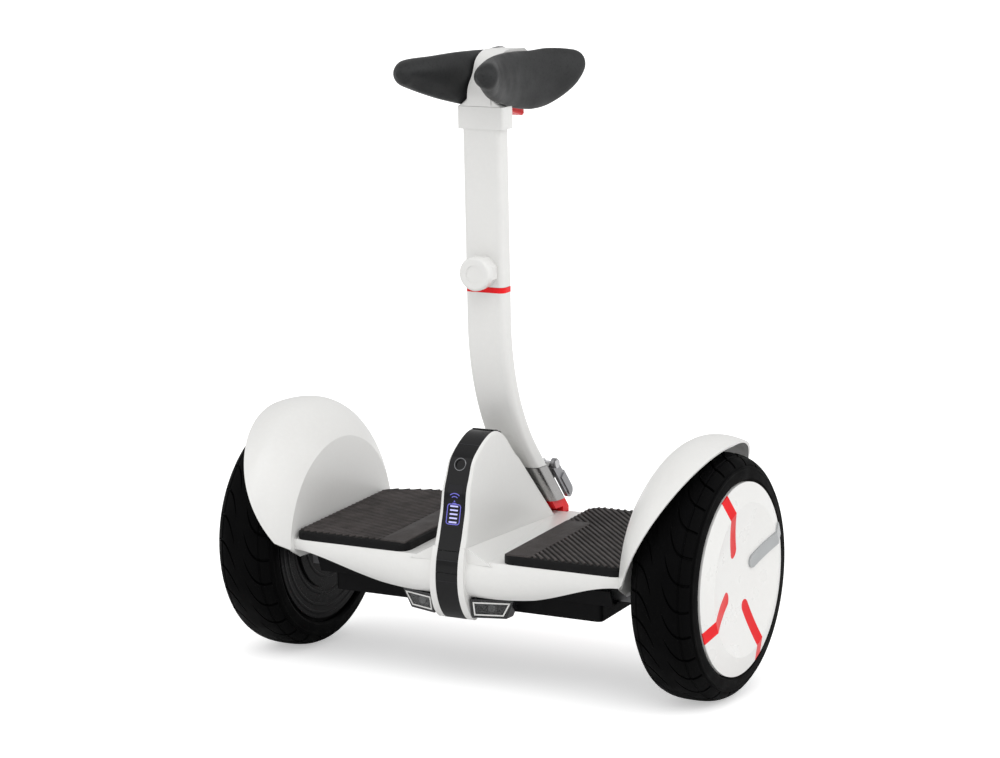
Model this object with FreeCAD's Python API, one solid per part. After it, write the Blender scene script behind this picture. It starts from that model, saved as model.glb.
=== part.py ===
import FreeCAD, Part
import math
import os

# Self balancing personal transporter with a knee bar.
# Millimetres. +X runs along the axle to the right, -Y is the front, +Z is up.
# The origin is on the ground, under the middle of the axle.

# Overall
overall_width = 548.0
overrun = 2.0
fit_gap = 0.1
seat_gap = 0.3

# Tyre
tyre_radius = 123.5
tyre_width = 73.6
tyre_wall = 7.0
tyre_side_inset = 3.1
tyre_section_height = 41.0
tyre_shoulder_height = 25.9
tyre_power = 2.82
tyre_arc_points = 6
tyre_first_angle = 8.0
bead_roof = 4.0
groove_width = 3.2
groove_depth = 2.6
groove_place_share = 0.42

# Rim, which is the drum of the hub motor
bead_width = 9.0
rim_flange_height = 10.5
rim_outer_half = 24.6
rim_inner_half = 31.2
rim_flange_thickness = 3.0
rim_drum_wall = 6.0

# Hub motor
motor_cover_thickness = 4.0
motor_cover_hub_radius = 26.0
motor_cover_hub_proud = 4.0
motor_cover_step_radius = 60.0
motor_cover_step = 2.5
outer_cover_recess = 4.5
magnet_thickness = 3.0
magnet_count = 30
magnet_fill_share = 0.86
air_gap = 0.8
stator_width = 24.0
stator_ring = 9.0
stator_hub_radius = 13.0
stator_hub_half = 10.0
stator_web_thickness = 8.0
stator_tooth_count = 9
stator_tooth_length = 20.0
stator_tooth_width = 8.0
coil_thickness = 4.0
coil_overhang = 1.6

# Axle and its bearings
axle_radius = 8.0
axle_thread_length = 9.4
axle_flat_depth = 1.5
axle_shoulder_radius = 11.0
axle_shoulder_width = 4.0
bearing_radius = 16.0
bearing_width = 9.0
bearing_clearance = 0.05
axle_nut_radius = 12.0
axle_nut_height = 7.0
nut_sides = 6

# Hubcap, a shallow dish with a ridge near its edge, and its inlays
cap_gap = 1.1
cap_edge_recess = 2.4
cap_ridge_proud = 3.6
cap_slope_run = 19.8
cap_dish_depth = 10.6
cap_wall = 2.0
cap_rim_width = 3.0
inlay_width = 14.0
inlay_tip_radius = 26.5
inlay_thickness = 1.2
inlay_bed = 1.5
red_inlay_angles = (115.6, 205.6, 295.6)
valve_angle = 22.5
valve_cover_proud = 1.8
valve_cover_thickness = 3.0
valve_cover_tip_radius = 26.0

# Fender
fender_gap = 18.5
fender_wall = 2.5
fender_clearance = 16.65
fender_rise = 28.55
fender_crown_offset = 3.0
fender_shoulder_shares = ((0.20, 0.371), (0.48, 0.785), (0.74, 0.977))
fender_lip_share = 0.9227
fender_edge_slope = 0.518
fender_rear_sweep = 0.111
fender_edge_inset = 41.4
fender_edge_rise = 76.5
fender_screw_radius = 2.5
fender_screw_head_radius = 4.5
fender_screw_head = 2.4
fender_screw_length = 16.0
fender_screw_places = ((-50.0, -4.0), (-28.0, -2.0), (28.0, 2.0), (50.0, 4.0))

# Deck shell: stations across the deck, from the middle to the fender
deck_tilt = 4.0
deck_top_rise = 17.6
deck_front_reach = 107.0
deck_rear_reach = 107.5
deck_side_height = 39.4
deck_wall = 3.0
station_x_shares = (-1.0, -0.69, -0.337, 0.0, 0.337, 0.69, 1.0)
front_top_shares = (0.88, 0.888, 0.888, 0.905, 0.888, 0.888, 0.88)
front_bulge_shares = (0.885, 0.915, 0.945, 0.99, 0.945, 0.915, 0.885)
front_low_shares = (0.868, 0.885, 0.838, 0.88, 0.838, 0.885, 0.868)
rear_top_shares = (0.85, 0.975, 1.0, 1.0, 1.0, 0.975, 0.85)
rear_bulge_shares = (0.855, 0.985, 1.02, 1.02, 1.02, 0.985, 0.855)
rear_low_shares = (0.84, 0.955, 0.93, 0.93, 0.93, 0.955, 0.84)
low_edge_shares = (0.29, 0.58, 1.0, 1.0, 1.0, 0.58, 0.29)
bulge_height_share = 0.42

# Hump, chin and the strip that covers them
hump_half_width = 18.0
hump_top_half_width = 14.4
hump_base_rise = 23.5
hump_height = 107.5
chin_drop = 51.9
hump_wall = 3.0
hump_round = 3.4
plinth_half_width = 47.0
plinth_front = 100.0
plinth_rear = 97.0
strip_width = 24.6
strip_thickness = 3.2
strip_clearance = 0.2
strip_seam_drops = (3.5, 25.3)
strip_seam_gap = 0.6
strip_rear_y = -14.0
nose_reach = 109.0
profile_front_shares = (
    (0.128, 0.962), (0.330, 1.0), (0.495, 0.970), (0.633, 0.918), (0.725, 0.866), (0.780, 0.790),
    (0.826, 0.724), (0.858, 0.598), (0.890, 0.527), (0.924, 0.456), (0.976, 0.368), (1.0, 0.273),
    (0.991, 0.177), (0.945, 0.095), (0.895, 0.046), (0.807, 0.0))
hump_rear_turn_y = 16.0
hump_rear_turn_share = 0.811
hump_rear_mid_share = 0.888
hump_rear_foot_y = 90.0
chin_depth = 26.0
ridge_height = 1.0
ridge_width = 3.0
ridge_count = 3
ridge_pitch = 6.0

# Button and display in the strip
button_radius = 6.0
button_ring_width = 1.4
button_height = 2.4
button_stem_radius = 2.0
button_clearance = 0.25
button_place_share = 0.752
button_travel = 0.8
display_place_shares = (0.203, 0.581)
display_width = 17.0
display_thickness = 1.2

# Headlamps and tail lamps
lamp_inner_x = 21.6
lamp_outer_x = 64.0
lamp_outer_cut = 9.4
lamp_lean = 5.0
lamp_foot = 4.4
lamp_height = 20.0
lamp_inner_y = -100.5
lamp_outer_y = -86.0
lamp_depth = 14.0
lamp_wall = 2.0
lens_thickness = 2.0
led_radius = 4.0
led_length = 5.0
led_place_share = 0.42
tail_inner_x = 31.0
tail_outer_x = 62.0
tail_height = 12.0
tail_proud = 0.8
tail_depth = 6.0
tail_drop = 2.5

# Foot mats
mat_inner_x = 54.0
mat_gap = 0.8
mat_front = 95.0
mat_rear = 105.0
mat_thickness = 10.0
mat_corner = 10.0
mat_edge_round = 2.5
mat_corner_cut_x = 52.0
mat_corner_cut_y = 17.0
mat_inner_cut = 9.0
rib_pitch = 9.4
rib_width = 4.6
rib_depth = 2.2
rib_angle = 44.0
rib_band = 32.0
rib_edge = 4.0
rib_rear_length = 150.0

# Foot sensors under the deck's skin
sensor_length = 46.0
sensor_width = 20.0
sensor_thickness = 1.8
sensor_reach_y = 42.0

# Chassis frame
frame_half_width = 60.0
frame_bottom_drop = 17.5
frame_wall = 5.0
frame_end_block = 46.0
frame_tunnel_half = 24.0
frame_rib_thickness = 4.0
frame_rib_place_share = 0.42

# Lower tray and battery
tray_end_gap = 19.4
tray_floor = 1.6
tray_half_width = 76.0
tray_rim_half_width = 82.0
tray_wall = 2.5
battery_end_gap = 15.0
battery_half_width = 73.0
battery_height = 18.4
battery_corner = 5.0
battery_rail_width = 14.0
battery_rail_height = 1.2
battery_bolt_inset = 25.0
battery_bolt_y = 48.0
battery_bolt_radius = 2.5
battery_bolt_head_radius = 4.5
battery_bolt_head = 2.5
battery_bolt_grip = 6.0

# Control board
board_length = 44.0
board_width = 96.0
board_thickness = 1.6
board_post = 3.0
board_post_radius = 2.5
board_edge = 6.0
chip_size = 14.0
chip_height = 2.0
chip_places_share = ((-0.22, -0.30), (0.18, 0.05), (-0.20, 0.30))

# Charge inlet and its cap
inlet_x = 92.0
inlet_drop = 2.5
inlet_face_y = 105.6
inlet_plate_width = 40.0
inlet_plate_height = 24.0
inlet_plate_thickness = 3.4
inlet_radius = 8.0
inlet_depth = 16.0
inlet_bore_radius = 4.5
hinge_reach = 16.0
hinge_proud = 3.0
hinge_pin_radius = 1.5
hinge_clearance = 0.08
hinge_barrel_radius = 2.6
hinge_lug_width = 5.0
hinge_lug_height = 3.0
cap_plate_radius = 9.0
cap_plate_thickness = 2.0
cap_arm_half = 4.7
cap_plug_radius = 3.4
cap_plug_length = 1.5

# Steering shaft, which lies level in the chassis
steer_drop = 3.5
steer_front_y = -57.0
steer_rear_y = 113.5
steer_radius = 7.5
steer_clearance = 0.05
steer_bearing_radius = 12.0
steer_bearing_width = 9.0
steer_bearing_place = 48.0
steer_arm_half = 5.0
steer_arm_length = 16.0
steer_arm_rise = 14.0
steer_stop_gap = 3.4
steer_stop_height = 11.0

# Hinge block at the foot of the knee bar
block_half_width = 20.0
block_front_y = 103.5
block_rear_y = 116.5
block_bottom_drop = 19.5
block_window = 9.0
block_window_depth = 5.0
block_lean_limit = 10.0
block_deck_gap = 1.4
notch_half_width = 26.0
notch_front_y = 101.0
spigot_gap = 0.15
spigot_above_clamp = 14.0

# Knee bar: path and section
bar_width = 44.0
bar_depth = 20.0
bar_round = 6.0
bar_wall = 2.5
bar_hump_gap = 3.0
bar_foot_share = 0.914
bar_slope_offset = 2.4
bar_lean = 2.4
bar_foot_run = 77.0
bar_bend_radius = 225.0
ring_place = 31.4
ring_height = 5.5
upper_tube_length = 158.2
slide_gap = 0.25
mast_wall = 2.0
mast_depth_in_tube = 24.0
mast_top_gap = 18.0

# Clamp and latch
clamp_length = 56.6
clamp_wall = 1.6
clamp_slit = 1.6
ear_thickness = 4.0
ear_round = 5.0
ear_place = 14.0
ear_low = 15.0
latch_pin_up = 36.9
latch_length = 59.6
latch_depth = 13.8
latch_thickness = 4.0
latch_gap = 0.3
latch_reach = 9.0
latch_pin_radius = 2.5
latch_pin_clearance = 0.08
latch_pin_head_radius = 4.6
latch_pin_head = 1.6
latch_rib_height = 1.4
latch_disc_radius = 4.2
latch_step_share = 0.42
latch_step_depth = 2.2

# Height knob on the upper tube
knob_up = 15.6
knob_radius = 17.2
knob_thickness = 9.0
knob_round = 3.0
knob_face_ring_radius = 9.0
knob_face_ring_depth = 0.6
boss_across = 30.6
boss_height = 11.0
boss_sides = 8
spindle_radius = 4.0
spindle_clearance = 0.08
knob_gap = 0.3

# Collar and head
collar_width = 52.0
collar_depth = 22.0
collar_height = 22.5
neck_rises = (0.0, 4.0, 10.0)
neck_width_shares = (0.97, 0.72, 0.52)
spine_half_width = 13.0
spine_reach = 58.0
spine_height = 53.4
spine_front_shares = (
    (-0.190, 0.0), (-0.215, 0.13), (-0.165, 0.38), (-0.010, 0.59), (0.075, 0.79), (0.280, 0.95), (0.480,
                                                                                                  1.0))
spine_rear_shares = ((1.05, 0.97), (1.24, 0.80), (1.30, 0.55), (1.22, 0.17), (1.10, 0.05))
head_tube_width = 33.2
head_tube_depth = 8.4
head_tube_length = 165.0
head_tube_wall = 1.6

# Release trigger under the spine
trigger_width = 18.0
trigger_front = 12.0
trigger_reach = 54.0
trigger_thickness = 7.0
trigger_gap = 0.3
trigger_travel = 4.0
trigger_stem_length = 8.0
trigger_stem_width = 10.0
trigger_stem_rise = 12.0
trigger_slide_gap = 0.08

# Knee pads
pad_front_reach = 91.3
pad_rear_reach = 123.7
pad_rise = 25.1
pad_half_height = 30.6
pad_spread = 56.1
pad_ring_points = 12
pad_station_shares = (0.0, 0.02, 0.065, 0.20, 0.36, 0.52, 0.66, 0.80, 0.92, 0.98, 1.0)
pad_height_shares = (0.12, 0.30, 0.44, 0.655, 0.823, 0.927, 0.966, 0.924, 0.675, 0.391, 0.12)
pad_centre_shares = (0.802, 0.802, 0.802, 0.60, 0.475, 0.418, 0.44, 0.516, 0.676, 0.756, 0.766)
pad_thickness_shares = (0.06, 0.16, 0.22, 0.20, 0.185, 0.175, 0.18, 0.19, 0.20, 0.15, 0.06)
pad_lift_shares = (0.302, 0.302, 0.302, 0.174, 0.079, -0.007, -0.059, 0.023, 0.204, 0.361, 0.361)

# Worked out from the sizes above
tyre_outer_x = overall_width / 2
tyre_half = tyre_width / 2
tyre_middle_x = tyre_outer_x - tyre_half
tyre_lip_radius = tyre_radius - tyre_shoulder_height
bead_radius = tyre_radius - tyre_section_height
axle_z = tyre_radius
rim_flange_radius = bead_radius + rim_flange_height
flange_outer_x = tyre_middle_x + rim_outer_half
flange_inner_x = tyre_middle_x - rim_inner_half
drum_inner_radius = bead_radius - rim_drum_wall
outer_cover_x = flange_outer_x - outer_cover_recess
cap_radius = tyre_lip_radius - cap_gap
cap_ridge_radius = cap_radius - cap_slope_run
cap_edge_x = tyre_outer_x - cap_edge_recess
cap_ridge_x = tyre_outer_x + cap_ridge_proud
cap_centre_x = cap_ridge_x - cap_dish_depth
fender_disc_x = flange_inner_x - fender_gap
fender_crown_x = tyre_middle_x + fender_crown_offset
fender_crown_radius = tyre_radius + fender_clearance
fender_crease_radius = fender_crown_radius - fender_rise
fender_edge_x = tyre_outer_x - fender_edge_inset
fender_edge_z = axle_z + fender_edge_rise
deck_half_length = fender_disc_x - fit_gap
deck_top_z = axle_z + deck_top_rise
deck_low_z = deck_top_z - deck_side_height
hump_base_z = axle_z + hump_base_rise
hump_top_z = hump_base_z + hump_height
chin_bottom_z = axle_z - chin_drop
nose_height = hump_top_z - chin_bottom_z
strip_seams_z = tuple(hump_base_z - drop for drop in strip_seam_drops)
strip_top_height = hump_top_z - strip_seams_z[0]
button_z = strip_seams_z[0] + strip_top_height * button_place_share
display_low_z = strip_seams_z[0] + strip_top_height * display_place_shares[0]
display_high_z = strip_seams_z[0] + strip_top_height * display_place_shares[1]
lamp_bottom_z = chin_bottom_z + lamp_foot
lamp_top_z = lamp_bottom_z + lamp_height
tail_face_y = deck_rear_reach
tail_z = axle_z - tail_drop
inlet_z = axle_z - inlet_drop
mat_outer_x = deck_half_length - mat_gap
frame_top_z = deck_top_z - deck_wall - fit_gap
frame_bottom_z = axle_z - frame_bottom_drop
pocket_end_x = deck_half_length - frame_end_block - frame_rib_thickness / 2
pocket_middle_x = (deck_half_length * frame_rib_place_share + pocket_end_x) / 2
axle_inner_end = pocket_end_x - axle_thread_length
tray_half_length = deck_half_length - tray_end_gap
battery_half_length = tray_half_length - battery_end_gap
battery_top_z = frame_bottom_z - tray_floor
battery_bottom_z = battery_top_z - battery_height
battery_bolt_x = battery_half_length - battery_bolt_inset
steer_axis_z = axle_z - steer_drop
block_bottom_z = axle_z - block_bottom_drop

V = FreeCAD.Vector
X_AXIS = V(1, 0, 0)
Y_AXIS = V(0, 1, 0)
Z_AXIS = V(0, 0, 1)


def save(name, shape):
    """Write one sub-part as a STEP file."""
    shape.exportStep("parts/" + name + ".step")


def mirrored(shape):
    """The same piece on the other side of the middle plane."""
    return shape.mirror(V(0, 0, 0), X_AXIS)


def both(name, shape):
    """Write a right-hand piece and its mirror image as two sub-parts."""
    save(name + "_right", shape)
    save(name + "_left", mirrored(shape))


def pair(name, shape):
    """Write a right-hand piece and its mirror image as one sub-part."""
    solids = shape.Solids + mirrored(shape).Solids
    save(name, Part.makeCompound(solids))


def tilted(shape):
    """Turn a piece of the level chassis to the deck's slope, about the axle."""
    turned = shape.copy()
    turned.rotate(V(0, 0, axle_z), X_AXIS, deck_tilt)
    return turned


def block(x0, x1, y0, y1, z0, z1):
    """A box between two corners."""
    return Part.makeBox(x1 - x0, y1 - y0, z1 - z0, V(x0, y0, z0))


def face_of(points):
    """A flat face inside a closed polygon."""
    return Part.Face(Part.makePolygon(list(points) + [points[0]]))


def curve(points):
    """A smooth edge through the points."""
    spline = Part.BSplineCurve()
    spline.interpolate(points)
    return spline.toShape()


def line(a, b):
    return Part.makeLine(a, b)


def turned_about_axle(rows):
    """Revolve a polygon of (x, radius) rows about the axle."""
    face = face_of([V(x, 0, axle_z + r) for x, r in rows])
    return face.revolve(V(0, 0, axle_z), X_AXIS, 360)


def rod_x(x0, x1, y, z, radius):
    return Part.makeCylinder(radius, x1 - x0, V(x0, y, z), X_AXIS)


def rod_y(y0, y1, x, z, radius):
    return Part.makeCylinder(radius, y1 - y0, V(x, y0, z), Y_AXIS)


def union(shapes):
    """One solid from touching pieces."""
    total = shapes[0]
    if len(shapes) > 1:
        total = total.fuse(shapes[1:])
    return total.removeSplitter()


def cut_each(body, tools):
    """Cut the tools out of the body one after the other."""
    for tool in tools:
        body = body.cut(tool)
    return body


def around_axle(shape, angle):
    """Turn a piece about the axle, from +Y towards +Z."""
    turned = shape.copy()
    turned.rotate(V(0, 0, axle_z), X_AXIS, angle)
    return turned


def rounded_section(width, depth, corner, z):
    """Wire of a rectangle with round corners, in a level plane."""
    box = Part.makeBox(width, depth, overrun, V(-width / 2, -depth / 2, z))
    posts = [edge for edge in box.Edges if abs(edge.tangentAt(edge.FirstParameter).z) > 0.5]
    body = box.makeFillet(corner, posts)
    lowest = min(body.Faces, key=lambda face: face.CenterOfMass.z)
    return lowest.OuterWire


def rounded_bar(width, depth, corner, z0, z1):
    """Straight bar with round corners along +Z."""
    wire = rounded_section(width, depth, corner, z0)
    return Part.Face(wire).extrude(V(0, 0, z1 - z0))


# Tyre
def tyre_point(angle, half, base, outer):
    """Point of the tyre's section, a rounded-square curve above the radius base."""
    x = math.cos(angle) ** (2 / tyre_power) * half
    r = base + math.sin(angle) ** (2 / tyre_power) * (outer - base)
    return x, r


def tyre_section(half, outer, foot_x, foot_r):
    """Section points from the right foot over the crown to the left foot."""
    first = math.radians(tyre_first_angle)
    right = [(foot_x, foot_r)]
    for step in range(tyre_arc_points):
        angle = first + (math.pi / 2 - first) * step / (tyre_arc_points - 1)
        right.append(tyre_point(angle, half, foot_r, outer))
    rows = right + [(-x, r) for x, r in reversed(right[:-1])]
    return [V(tyre_middle_x + x, 0, axle_z + r) for x, r in rows]


def make_tyre():
    seat = bead_radius + fit_gap
    half = tyre_half - tyre_side_inset
    skin = tyre_section(half, tyre_radius, half - cap_edge_recess, tyre_lip_radius)
    right_bead = rim_outer_half - rim_flange_thickness - fit_gap
    left_bead = rim_inner_half - rim_flange_thickness - fit_gap
    feet = [(right_bead, tyre_lip_radius), (right_bead, seat), (-left_bead, seat),
            (-left_bead, tyre_lip_radius)]
    feet = [V(tyre_middle_x + x, 0, axle_z + r) for x, r in feet]
    outline = [skin[0]] + feet + [skin[-1]]
    edges = [curve(skin)] + [line(a, b) for a, b in zip(outline, outline[1:])]
    body = Part.Face(Part.Wire(Part.__sortEdges__(edges))).revolve(V(0, 0, axle_z), X_AXIS, 360)
    roof = tyre_section(half - tyre_wall, tyre_radius - tyre_wall, rim_outer_half - bead_width,
                        tyre_lip_radius + bead_roof)
    floor = [V(roof[0].x, 0, axle_z + bead_radius - overrun),
             V(roof[-1].x, 0, axle_z + bead_radius - overrun)]
    outline = [roof[0]] + floor + [roof[-1]]
    edges = [curve(roof)] + [line(a, b) for a, b in zip(outline, outline[1:])]
    hollow = Part.Face(Part.Wire(Part.__sortEdges__(edges))).revolve(V(0, 0, axle_z), X_AXIS, 360)
    tools = [hollow]
    for side in (-1, 1):
        x = tyre_middle_x + side * tyre_half * groove_place_share
        half = groove_width / 2
        low = tyre_radius - groove_depth
        high = tyre_radius + overrun
        tools.append(turned_about_axle([(x - half, low), (x + half, low), (x + half, high),
                                        (x - half, high)]))
    return cut_each(body, tools)


# Rim and motor
def make_rim():
    f = rim_flange_thickness
    return turned_about_axle([
        (flange_inner_x, drum_inner_radius), (flange_outer_x, drum_inner_radius),
        (flange_outer_x, rim_flange_radius), (flange_outer_x - f, rim_flange_radius),
        (flange_outer_x - f, bead_radius), (flange_inner_x + f, bead_radius),
        (flange_inner_x + f, rim_flange_radius), (flange_inner_x, rim_flange_radius)])


def make_motor_cover(face_x, sign):
    """Disc with a stepped face and a bearing housing; sign points out of the motor."""
    inside = face_x - sign * motor_cover_thickness
    proud = face_x + sign * motor_cover_hub_proud
    step = face_x + sign * motor_cover_step
    edge = drum_inner_radius - fit_gap
    hub_in = proud - sign * (bearing_width + motor_cover_hub_proud)
    seat = bearing_radius + bearing_clearance
    rows = [(proud, axle_shoulder_radius + overrun), (proud, motor_cover_hub_radius),
            (step, motor_cover_hub_radius), (step, motor_cover_step_radius), (face_x,
                                                                              motor_cover_step_radius),
            (face_x, edge), (inside, edge), (inside, motor_cover_hub_radius - overrun),
            (hub_in, motor_cover_hub_radius - overrun), (hub_in, seat),
            (hub_in + sign * bearing_width, seat),
            (hub_in + sign * bearing_width, axle_shoulder_radius + overrun)]
    return turned_about_axle(rows)


def make_bearing(face_x, sign):
    start = face_x + sign * motor_cover_hub_proud - sign * (bearing_width + motor_cover_hub_proud)
    bore = axle_radius + fit_gap / 2
    low, high = sorted((start, start + sign * (bearing_width - fit_gap)))
    return turned_about_axle([(low, bore), (high, bore), (high, bearing_radius), (low, bearing_radius)])


def make_magnets():
    """Ring of thin magnets, all on one backing sleeve inside the drum."""
    half = stator_width / 2
    outer = drum_inner_radius - fit_gap
    back = outer - magnet_thickness / 3
    inner = outer - magnet_thickness
    sleeve = turned_about_axle([(tyre_middle_x - half, back), (tyre_middle_x + half, back),
                                (tyre_middle_x + half, outer), (tyre_middle_x - half, outer)])
    gap = 2 * math.pi * outer / magnet_count * (1 - magnet_fill_share)
    faces = turned_about_axle([(tyre_middle_x - half, inner), (tyre_middle_x + half, inner),
                               (tyre_middle_x + half, back), (tyre_middle_x - half, back)])
    slots = []
    for number in range(magnet_count):
        slot = block(tyre_middle_x - half - overrun, tyre_middle_x + half + overrun,
                     -gap / 2, gap / 2, axle_z + inner - overrun, axle_z + back)
        slots.append(around_axle(slot, 360 / magnet_count * number))
    return union([sleeve, cut_each(faces, slots)])


def stator_radius():
    return drum_inner_radius - fit_gap - magnet_thickness - air_gap


def make_stator():
    """Core with teeth that reach out from a hub on the axle."""
    outer = stator_radius()
    half = stator_width / 2
    bore = axle_radius + fit_gap
    hub_low = tyre_middle_x - stator_hub_half
    hub_high = tyre_middle_x + stator_hub_half
    hub = turned_about_axle([(hub_low, bore), (hub_high, bore), (hub_high, stator_hub_radius),
                             (hub_low, stator_hub_radius)])
    web_half = stator_web_thickness / 2
    ring_inner = outer - stator_tooth_length - stator_ring
    web = turned_about_axle([(tyre_middle_x - web_half, stator_hub_radius),
                             (tyre_middle_x + web_half, stator_hub_radius),
                             (tyre_middle_x + web_half, ring_inner), (tyre_middle_x - web_half, ring_inner)])
    ring = turned_about_axle([(tyre_middle_x - half, ring_inner), (tyre_middle_x + half, ring_inner),
                              (tyre_middle_x + half, ring_inner + stator_ring),
                              (tyre_middle_x - half, ring_inner + stator_ring)])
    teeth = []
    for number in range(stator_tooth_count):
        tooth = block(tyre_middle_x - half, tyre_middle_x + half, -stator_tooth_width / 2,
                      stator_tooth_width / 2,
                      axle_z + ring_inner + stator_ring / 2, axle_z + outer - fit_gap)
        teeth.append(around_axle(tooth, 360 / stator_tooth_count * number))
    return union([hub, web, ring] + teeth)


def make_coils():
    """One coil round each tooth, as separate solids."""
    outer = stator_radius()
    half = stator_width / 2
    low = axle_z + outer - stator_tooth_length + fit_gap
    high = axle_z + outer - coil_overhang
    wide = stator_tooth_width / 2 + fit_gap
    coils = []
    for number in range(stator_tooth_count):
        whole = block(tyre_middle_x - half - coil_overhang, tyre_middle_x + half + coil_overhang,
                      -wide - coil_thickness, wide + coil_thickness, low, high)
        hole = block(tyre_middle_x - half - fit_gap, tyre_middle_x + half + fit_gap, -wide, wide,
                     low - overrun, high + overrun)
        coils.append(around_axle(whole.cut(hole), 360 / stator_tooth_count * number))
    return Part.makeCompound(coils)


def make_axle():
    """Fixed axle with two flats on the end that the chassis holds."""
    end = outer_cover_x + motor_cover_hub_proud
    rod = rod_x(axle_inner_end, end, 0, axle_z, axle_radius)
    shoulder_x = flange_inner_x - motor_cover_hub_proud
    shoulder = rod_x(shoulder_x - axle_shoulder_width, shoulder_x - fit_gap, 0, axle_z, axle_shoulder_radius)
    flat_end = fender_disc_x - frame_end_block / 2
    flats = []
    for side in (-1, 1):
        edge = axle_radius - axle_flat_depth
        low, high = sorted((side * edge, side * (axle_radius + overrun)))
        flats.append(block(axle_inner_end - overrun, flat_end, -axle_radius - overrun, axle_radius + overrun,
                           axle_z + low, axle_z + high))
    return union([cut_each(rod, flats), shoulder])


def make_axle_nut():
    """Hexagonal nut on the inner end of the axle, inside the frame's end block."""
    x0 = pocket_end_x - axle_nut_height
    points = []
    for corner in range(nut_sides):
        angle = 2 * math.pi * corner / nut_sides
        points.append(V(x0, axle_nut_radius * math.cos(angle), axle_z + axle_nut_radius * math.sin(angle)))
    nut = face_of(points).extrude(V(axle_nut_height - fit_gap, 0, 0))
    return nut.cut(rod_x(x0 - overrun, x0 + axle_nut_height + overrun, 0, axle_z, axle_radius + fit_gap))


# Hubcap
def slot_plan(tip_radius, width, x0, x1, end_radius):
    """Radial slot with a round inner tip, cut along the axle; it points up the +Y side."""
    straight = block(x0, x1, tip_radius + width / 2, end_radius, axle_z - width / 2, axle_z + width / 2)
    tip = rod_x(x0, x1, tip_radius + width / 2, axle_z, width / 2)
    return straight.fuse(tip)


def cap_body(drop, inner_x):
    """Solid behind the cap's outer face, which is moved in by drop, down to a flat back."""
    half = cap_ridge_radius / 2
    centre = V(cap_centre_x - drop, 0, axle_z)
    middle = V(cap_centre_x + cap_dish_depth / 4 - drop, 0, axle_z + half)
    ridge = V(cap_ridge_x - drop, 0, axle_z + cap_ridge_radius)
    edge = V(cap_edge_x - drop, 0, axle_z + cap_radius)
    back_edge = V(inner_x, 0, edge.z)
    back = V(inner_x, 0, axle_z)
    wire = Part.Wire([Part.Arc(centre, middle, ridge).toShape(), line(ridge, edge), line(edge, back_edge),
                      line(back_edge, back), line(back, centre)])
    return Part.Face(wire).revolve(V(0, 0, axle_z), X_AXIS, 360)


def cap_ring(inner_radius, outer_radius, x0, x1):
    """Plain ring round the axle."""
    return turned_about_axle([(x0, inner_radius), (x0, outer_radius), (x1, outer_radius),
                              (x1, inner_radius)])


def make_hubcap():
    back_x = flange_outer_x + fit_gap
    top_x = cap_ridge_x + overrun
    whole = cap_body(0, back_x)
    under = cap_body(cap_wall, back_x - overrun)
    hollow = under.cut(cap_ring(cap_radius - cap_rim_width, cap_radius + overrun, back_x - 2 * overrun,
                                top_x))
    body = whole.cut(hollow)
    deep = cap_body(inlay_thickness, back_x - overrun)
    deeper = cap_body(inlay_thickness + inlay_bed, back_x - overrun)
    beds = []
    cuts = []
    for angle in red_inlay_angles:
        bed = slot_plan(inlay_tip_radius - inlay_bed, inlay_width + 2 * inlay_bed, back_x, top_x, cap_radius)
        beds.append(around_axle(bed.common(whole).cut(deeper), angle))
        groove = slot_plan(inlay_tip_radius, inlay_width, back_x, top_x, cap_radius + overrun)
        cuts.append(around_axle(groove.cut(deep), angle))
    opening = slot_plan(valve_cover_tip_radius, inlay_width, back_x, top_x, cap_radius - cap_rim_width)
    cuts.append(around_axle(opening, valve_angle))
    return cut_each(union([body] + beds), cuts)


def make_inlays():
    """Folded red blades that lie flush in the cap's face."""
    back_x = flange_outer_x + fit_gap
    plan = slot_plan(inlay_tip_radius + fit_gap, inlay_width - 2 * fit_gap, back_x, cap_ridge_x + overrun,
                     cap_radius - fit_gap)
    blade = plan.common(cap_body(0, back_x)).cut(cap_body(inlay_thickness - fit_gap, back_x - overrun))
    return Part.makeCompound([solid for angle in red_inlay_angles for solid in around_axle(blade,
                                                                                           angle).Solids])


def make_valve_cover():
    """Grey cover over the tyre valve, a little proud of the cap."""
    back_x = flange_outer_x + fit_gap
    plan = slot_plan(valve_cover_tip_radius + fit_gap, inlay_width - 2 * fit_gap, back_x,
                     cap_ridge_x + 2 * valve_cover_proud, cap_radius - cap_rim_width - fit_gap)
    cover = plan.common(cap_body(-valve_cover_proud, back_x)).cut(cap_body(valve_cover_thickness,
                                                                           back_x - overrun))
    return around_axle(cover, valve_angle)


# Fender
def fender_outline(inset):
    """Half section of the fender's skin from the disc to the lip, moved in by inset."""
    rows = [(fender_disc_x + inset, fender_crease_radius - inset / 2)]
    rise = fender_crown_radius - fender_crease_radius
    run = fender_crown_x - fender_disc_x
    for x_share, r_share in fender_shoulder_shares:
        slope = 1 - x_share
        rows.append((fender_disc_x + run * x_share + inset * slope,
                     fender_crease_radius + rise * r_share - inset * (1 - slope / 2)))
    rows.append((fender_crown_x, fender_crown_radius - inset))
    rows.append((tyre_outer_x, fender_crown_radius * fender_lip_share - inset))
    return rows


def fender_wire_points(inset):
    return [V(x, 0, axle_z + r) for x, r in fender_outline(inset)]


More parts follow.
